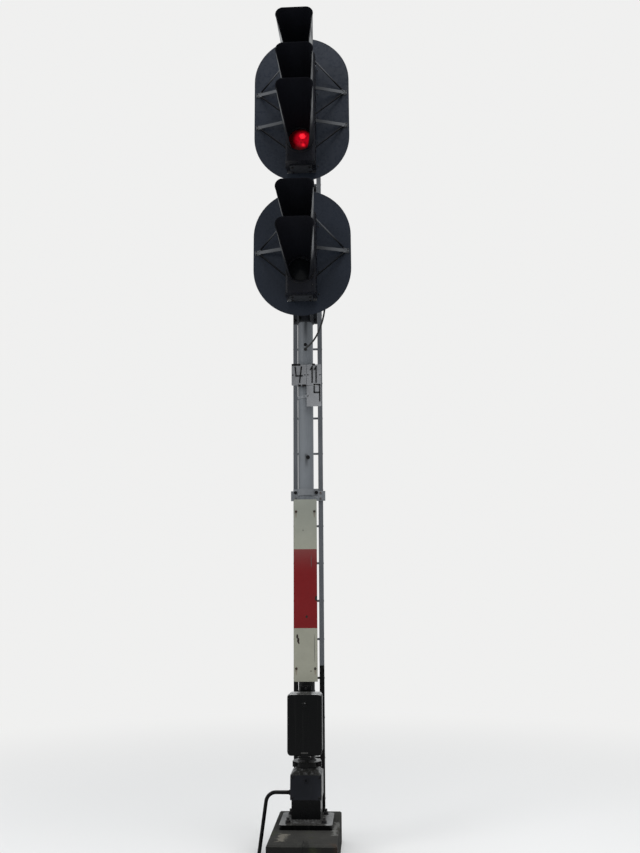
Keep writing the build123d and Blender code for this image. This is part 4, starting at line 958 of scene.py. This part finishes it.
def make_hood(node, z, bow):
    """The rolled sheet hood: open below from its ring, black outside, matte inside, with a folded edge.
    Its lower edge rises to the mouth, late where the bow is over 1: the sides then roll in further."""
    outside, inside = (list(zip(hood_outline(0, z, wall), hood_outline(1, z, wall))) for wall in (0, HOOD_WALL))
    first = (HOOD_FRONT - LAMP_FACE) / (HOOD_TIP - LAMP_FACE)
    rows = 26

    def place(line, share):
        (x, height), (far_x, far_height) = line
        y = LAMP_FACE + (HOOD_TIP - LAMP_FACE) * share
        return x + (far_x - x) * share, y, height + (far_height - height) * share

    def above(line, share):
        """How far the line lies above the hood's lower edge."""
        _, y, height = place(line, share)
        rise = max(0, (HOOD_FRONT - y) / (HOOD_FRONT - HOOD_TIP)) ** bow
        return height - (z - 0.1 + 0.226 * rise)

    def last_share(line):
        if above(line, first) <= 0:
            return first
        if above(line, 1) >= 0:
            return 1
        low, high = first, 1
        for _ in range(40):
            half = (low + high) / 2
            low, high = (half, high) if above(line, half) > 0 else (low, half)
        return low

    ends = [last_share(line) for line in outside]
    kept = [i for i, end in enumerate(ends) if end - first > 0.004]

    def along(i, step, steps, lines=outside):
        return place(lines[i], first + (ends[i] - first) * step / steps)

    shell = Shape(node + "_shell", "hood_black", LOOKS["hood_black"], LINING, angle=40, node=node)
    faces = shell.mesh.faces
    outer, inner = ([[shell.mesh.verts.new(along(i, row, rows, lines)) for row in range(rows + 1)] for i in kept]
                    for lines in (outside, inside))
    for a in range(len(kept) - 1):
        for row in range(rows):
            faces.new((outer[a][row], outer[a + 1][row], outer[a + 1][row + 1], outer[a][row + 1]))
            lining = faces.new((inner[a][row + 1], inner[a + 1][row + 1], inner[a + 1][row], inner[a][row]))
            lining.material_index = 1
        faces.new((outer[a][rows], outer[a + 1][rows], inner[a + 1][rows], inner[a][rows]))
        faces.new((outer[a + 1][0], outer[a][0], inner[a][0], inner[a + 1][0]))
    for line, other in ((outer[0], inner[0]), (inner[-1], outer[-1])):
        for row in range(rows):
            faces.new((line[row], line[row + 1], other[row + 1], other[row]))

    path = [along(kept[0], step, 8) for step in range(8)] + [along(i, 1, 1) for i in kept]
    path += [along(kept[-1], step, 8) for step in range(7, -1, -1)]
    spaced = path[:1]
    for point in path[1:]:
        if math.dist(point, spaced[-1]) > 0.006:
            spaced.append(point)
    Shape(node + "_edge", "hood_black", LINING).tube(spaced, 0.0022, 6)

    ring = Shape(node + "_ring", "hood_black")
    ring.turned((0, LAMP_FACE, z), FRONT, [(118.5, 0), (130, 0), (130, 4.8), (128.8, 6), (118.5, 6)], 56)
    for x, height in arc(0, z, 0.1262, 30, 330, 5):
        ring.bolt((x, HOOD_FRONT, height), FRONT, 0.0036, washer=False, head="round")


def make_lens(node, z, slot):
    """Stepped glass: a crowned disc with prism rings that the lamp shines through."""
    low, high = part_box(node)
    radius, count = 0.104, 12

    def crown(reach):
        return (high.y - low.y) - 0.0115 * (reach / radius) ** 2

    profile = [(0, crown(0))]
    for k in range(count):
        inner, outer = radius * k / count, radius * (k + 1) / count
        if k:
            profile.append((inner + 0.0006, crown(inner)))
        profile.append(((inner + outer) / 2, crown((inner + outer) / 2) - 0.0002))
        profile.append((outer - 0.0004, crown(outer) - 0.0016))
    profile += [(radius, 0.0006), (radius - 0.0006, 0), (0, 0)]
    Shape(node + "_glass", slot, node=node).lathe((0, high.y, z), FRONT, profile, 56)


def dress_head(head, lenses, slopes):
    """One lamp head. The slopes say which rods each row of stays has: 1 runs up, -1 down."""
    low, high = heights(head + "_housing")
    lamps = [middle(head + "_lens_" + name).z for name in lenses]
    dress_brackets(head, low, high)
    dress_housing(head, lamps)
    dress_backboard(head, low, high)
    dress_stays(head, [(z + BAR_ABOVE_LAMP, ways) for z, ways in zip(lamps, slopes)], low, high)
    for name, z in zip(lenses, lamps):
        make_hood(head + "_hood_" + name, z, 1.8 if (head, name) == ("upper", "top") else 1)
        make_lens(head + "_lens_" + name, z, "lens_red" if (head, name) == ("upper", "bottom") else "lens_dark")


def dress_nodes():
    """Gives every node its slot's material, or its own paint over it."""
    own = {"upper_stays": STAYS, "lower_stays": STAYS, "base_cover": SKY_LIT_COVER, "anchor_bolts": STUD,
           "upper_brackets": LIT_BRACKET, "lower_brackets": LIT_BRACKET}
    for row in frame["record"]["subparts"]:
        name, slot = row["node"], row["material_slot"]
        node = frame["nodes"][name]
        node.data.materials.clear()
        node.data.materials.append(own.get(name, LOOKS[slot]))


def make_cable():
    """The flexible cable from the lower head's side into the mast, on the route of its solid."""
    data = bpy.data.curves.new("head_cable_hose", "CURVE")
    data.dimensions = "3D"
    spline = data.splines.new("NURBS")
    spline.points.add(len(CABLE_ROUTE) - 1)
    for point, place in zip(spline.points, CABLE_ROUTE):
        point.co = (*[v * MM for v in place], 1)
    spline.order_u = 3
    spline.use_endpoint_u = True
    spline.resolution_u = 10
    data.bevel_depth = 8 * MM
    data.bevel_resolution = 5
    data.use_fill_caps = True
    data.materials.append(LOOKS["cable_rubber"])
    hose = add("head_cable_hose", data)
    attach(hose, BODY)
    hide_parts("head_cable")


def make_stage():
    """A pale floor that fades into the backdrop, an even sky and two soft lamps."""
    data = bpy.data.meshes.new("floor")
    reach = 60
    data.from_pydata([(-reach, -reach, 0), (reach, -reach, 0), (reach, reach, 0), (-reach, reach, 0)],
                     [], [(0, 1, 2, 3)])
    floor = add("floor", data)
    look = Look("floor_pale")
    data.materials.append(look.finish((0.78, 0.78, 0.775), 0.95))
    sight = look.node("ShaderNodeLightPath", "Is Camera Ray")
    share = look.distance(look.at(X), look.at(Y)).step(2, 9) * sight
    far = look.node("ShaderNodeEmission", 0, {"Color": BACKDROP})
    both = look.node("ShaderNodeMixShader", 0, {0: share, 1: Value(look, look.shader.outputs[0]), 2: far})
    look.feed(look.tree.nodes["Material Output"].inputs["Surface"], both)

    world = bpy.data.worlds.new("studio")
    bpy.context.scene.world = world
    world.use_nodes = True
    tree = world.node_tree
    light, seen = tree.nodes["Background"], tree.nodes.new("ShaderNodeBackground")
    for back, colour, strength in ((light, (0.86, 0.88, 0.9), 0.62), (seen, BACKDROP, 1)):
        back.inputs["Color"].default_value = (*colour, 1)
        back.inputs["Strength"].default_value = strength
    path, mix = tree.nodes.new("ShaderNodeLightPath"), tree.nodes.new("ShaderNodeMixShader")
    sources = (path.outputs["Is Camera Ray"], light.outputs[0], seen.outputs[0])
    for source, socket in zip(sources, mix.inputs):
        tree.links.new(source, socket)
    tree.links.new(mix.outputs[0], tree.nodes["World Output"].inputs["Surface"])

    target = Vector((0, 0, 4))
    for name, place, size, power in (("sky", (1.5, -4, 15), 9, 1500), ("left", (-9, -8, 8), 5, 350)):
        data = bpy.data.lights.new(name, "AREA")
        data.shape, data.size, data.energy = "DISK", size, power
        lamp = add(name, data)
        lamp.location = place
        lamp.rotation_euler = (target - Vector(place)).to_track_quat("-Z", "Y").to_euler()


make_camera()
dress_nodes()
dress_base()
dress_conduit()
dress_box()
dress_bands()
dress_board()
dress_ladder()
dress_mast()
dress_plates()
dress_head("upper", ("bottom", "middle", "top"), ((-1,), (1, -1)))
dress_head("lower", ("bottom", "top"), ((1, -1),))
dress_gland()
make_cable()
make_stage()
for shape in Shape.pieces:
    shape.finish()

bpy.context.scene.view_settings.view_transform = "Standard"
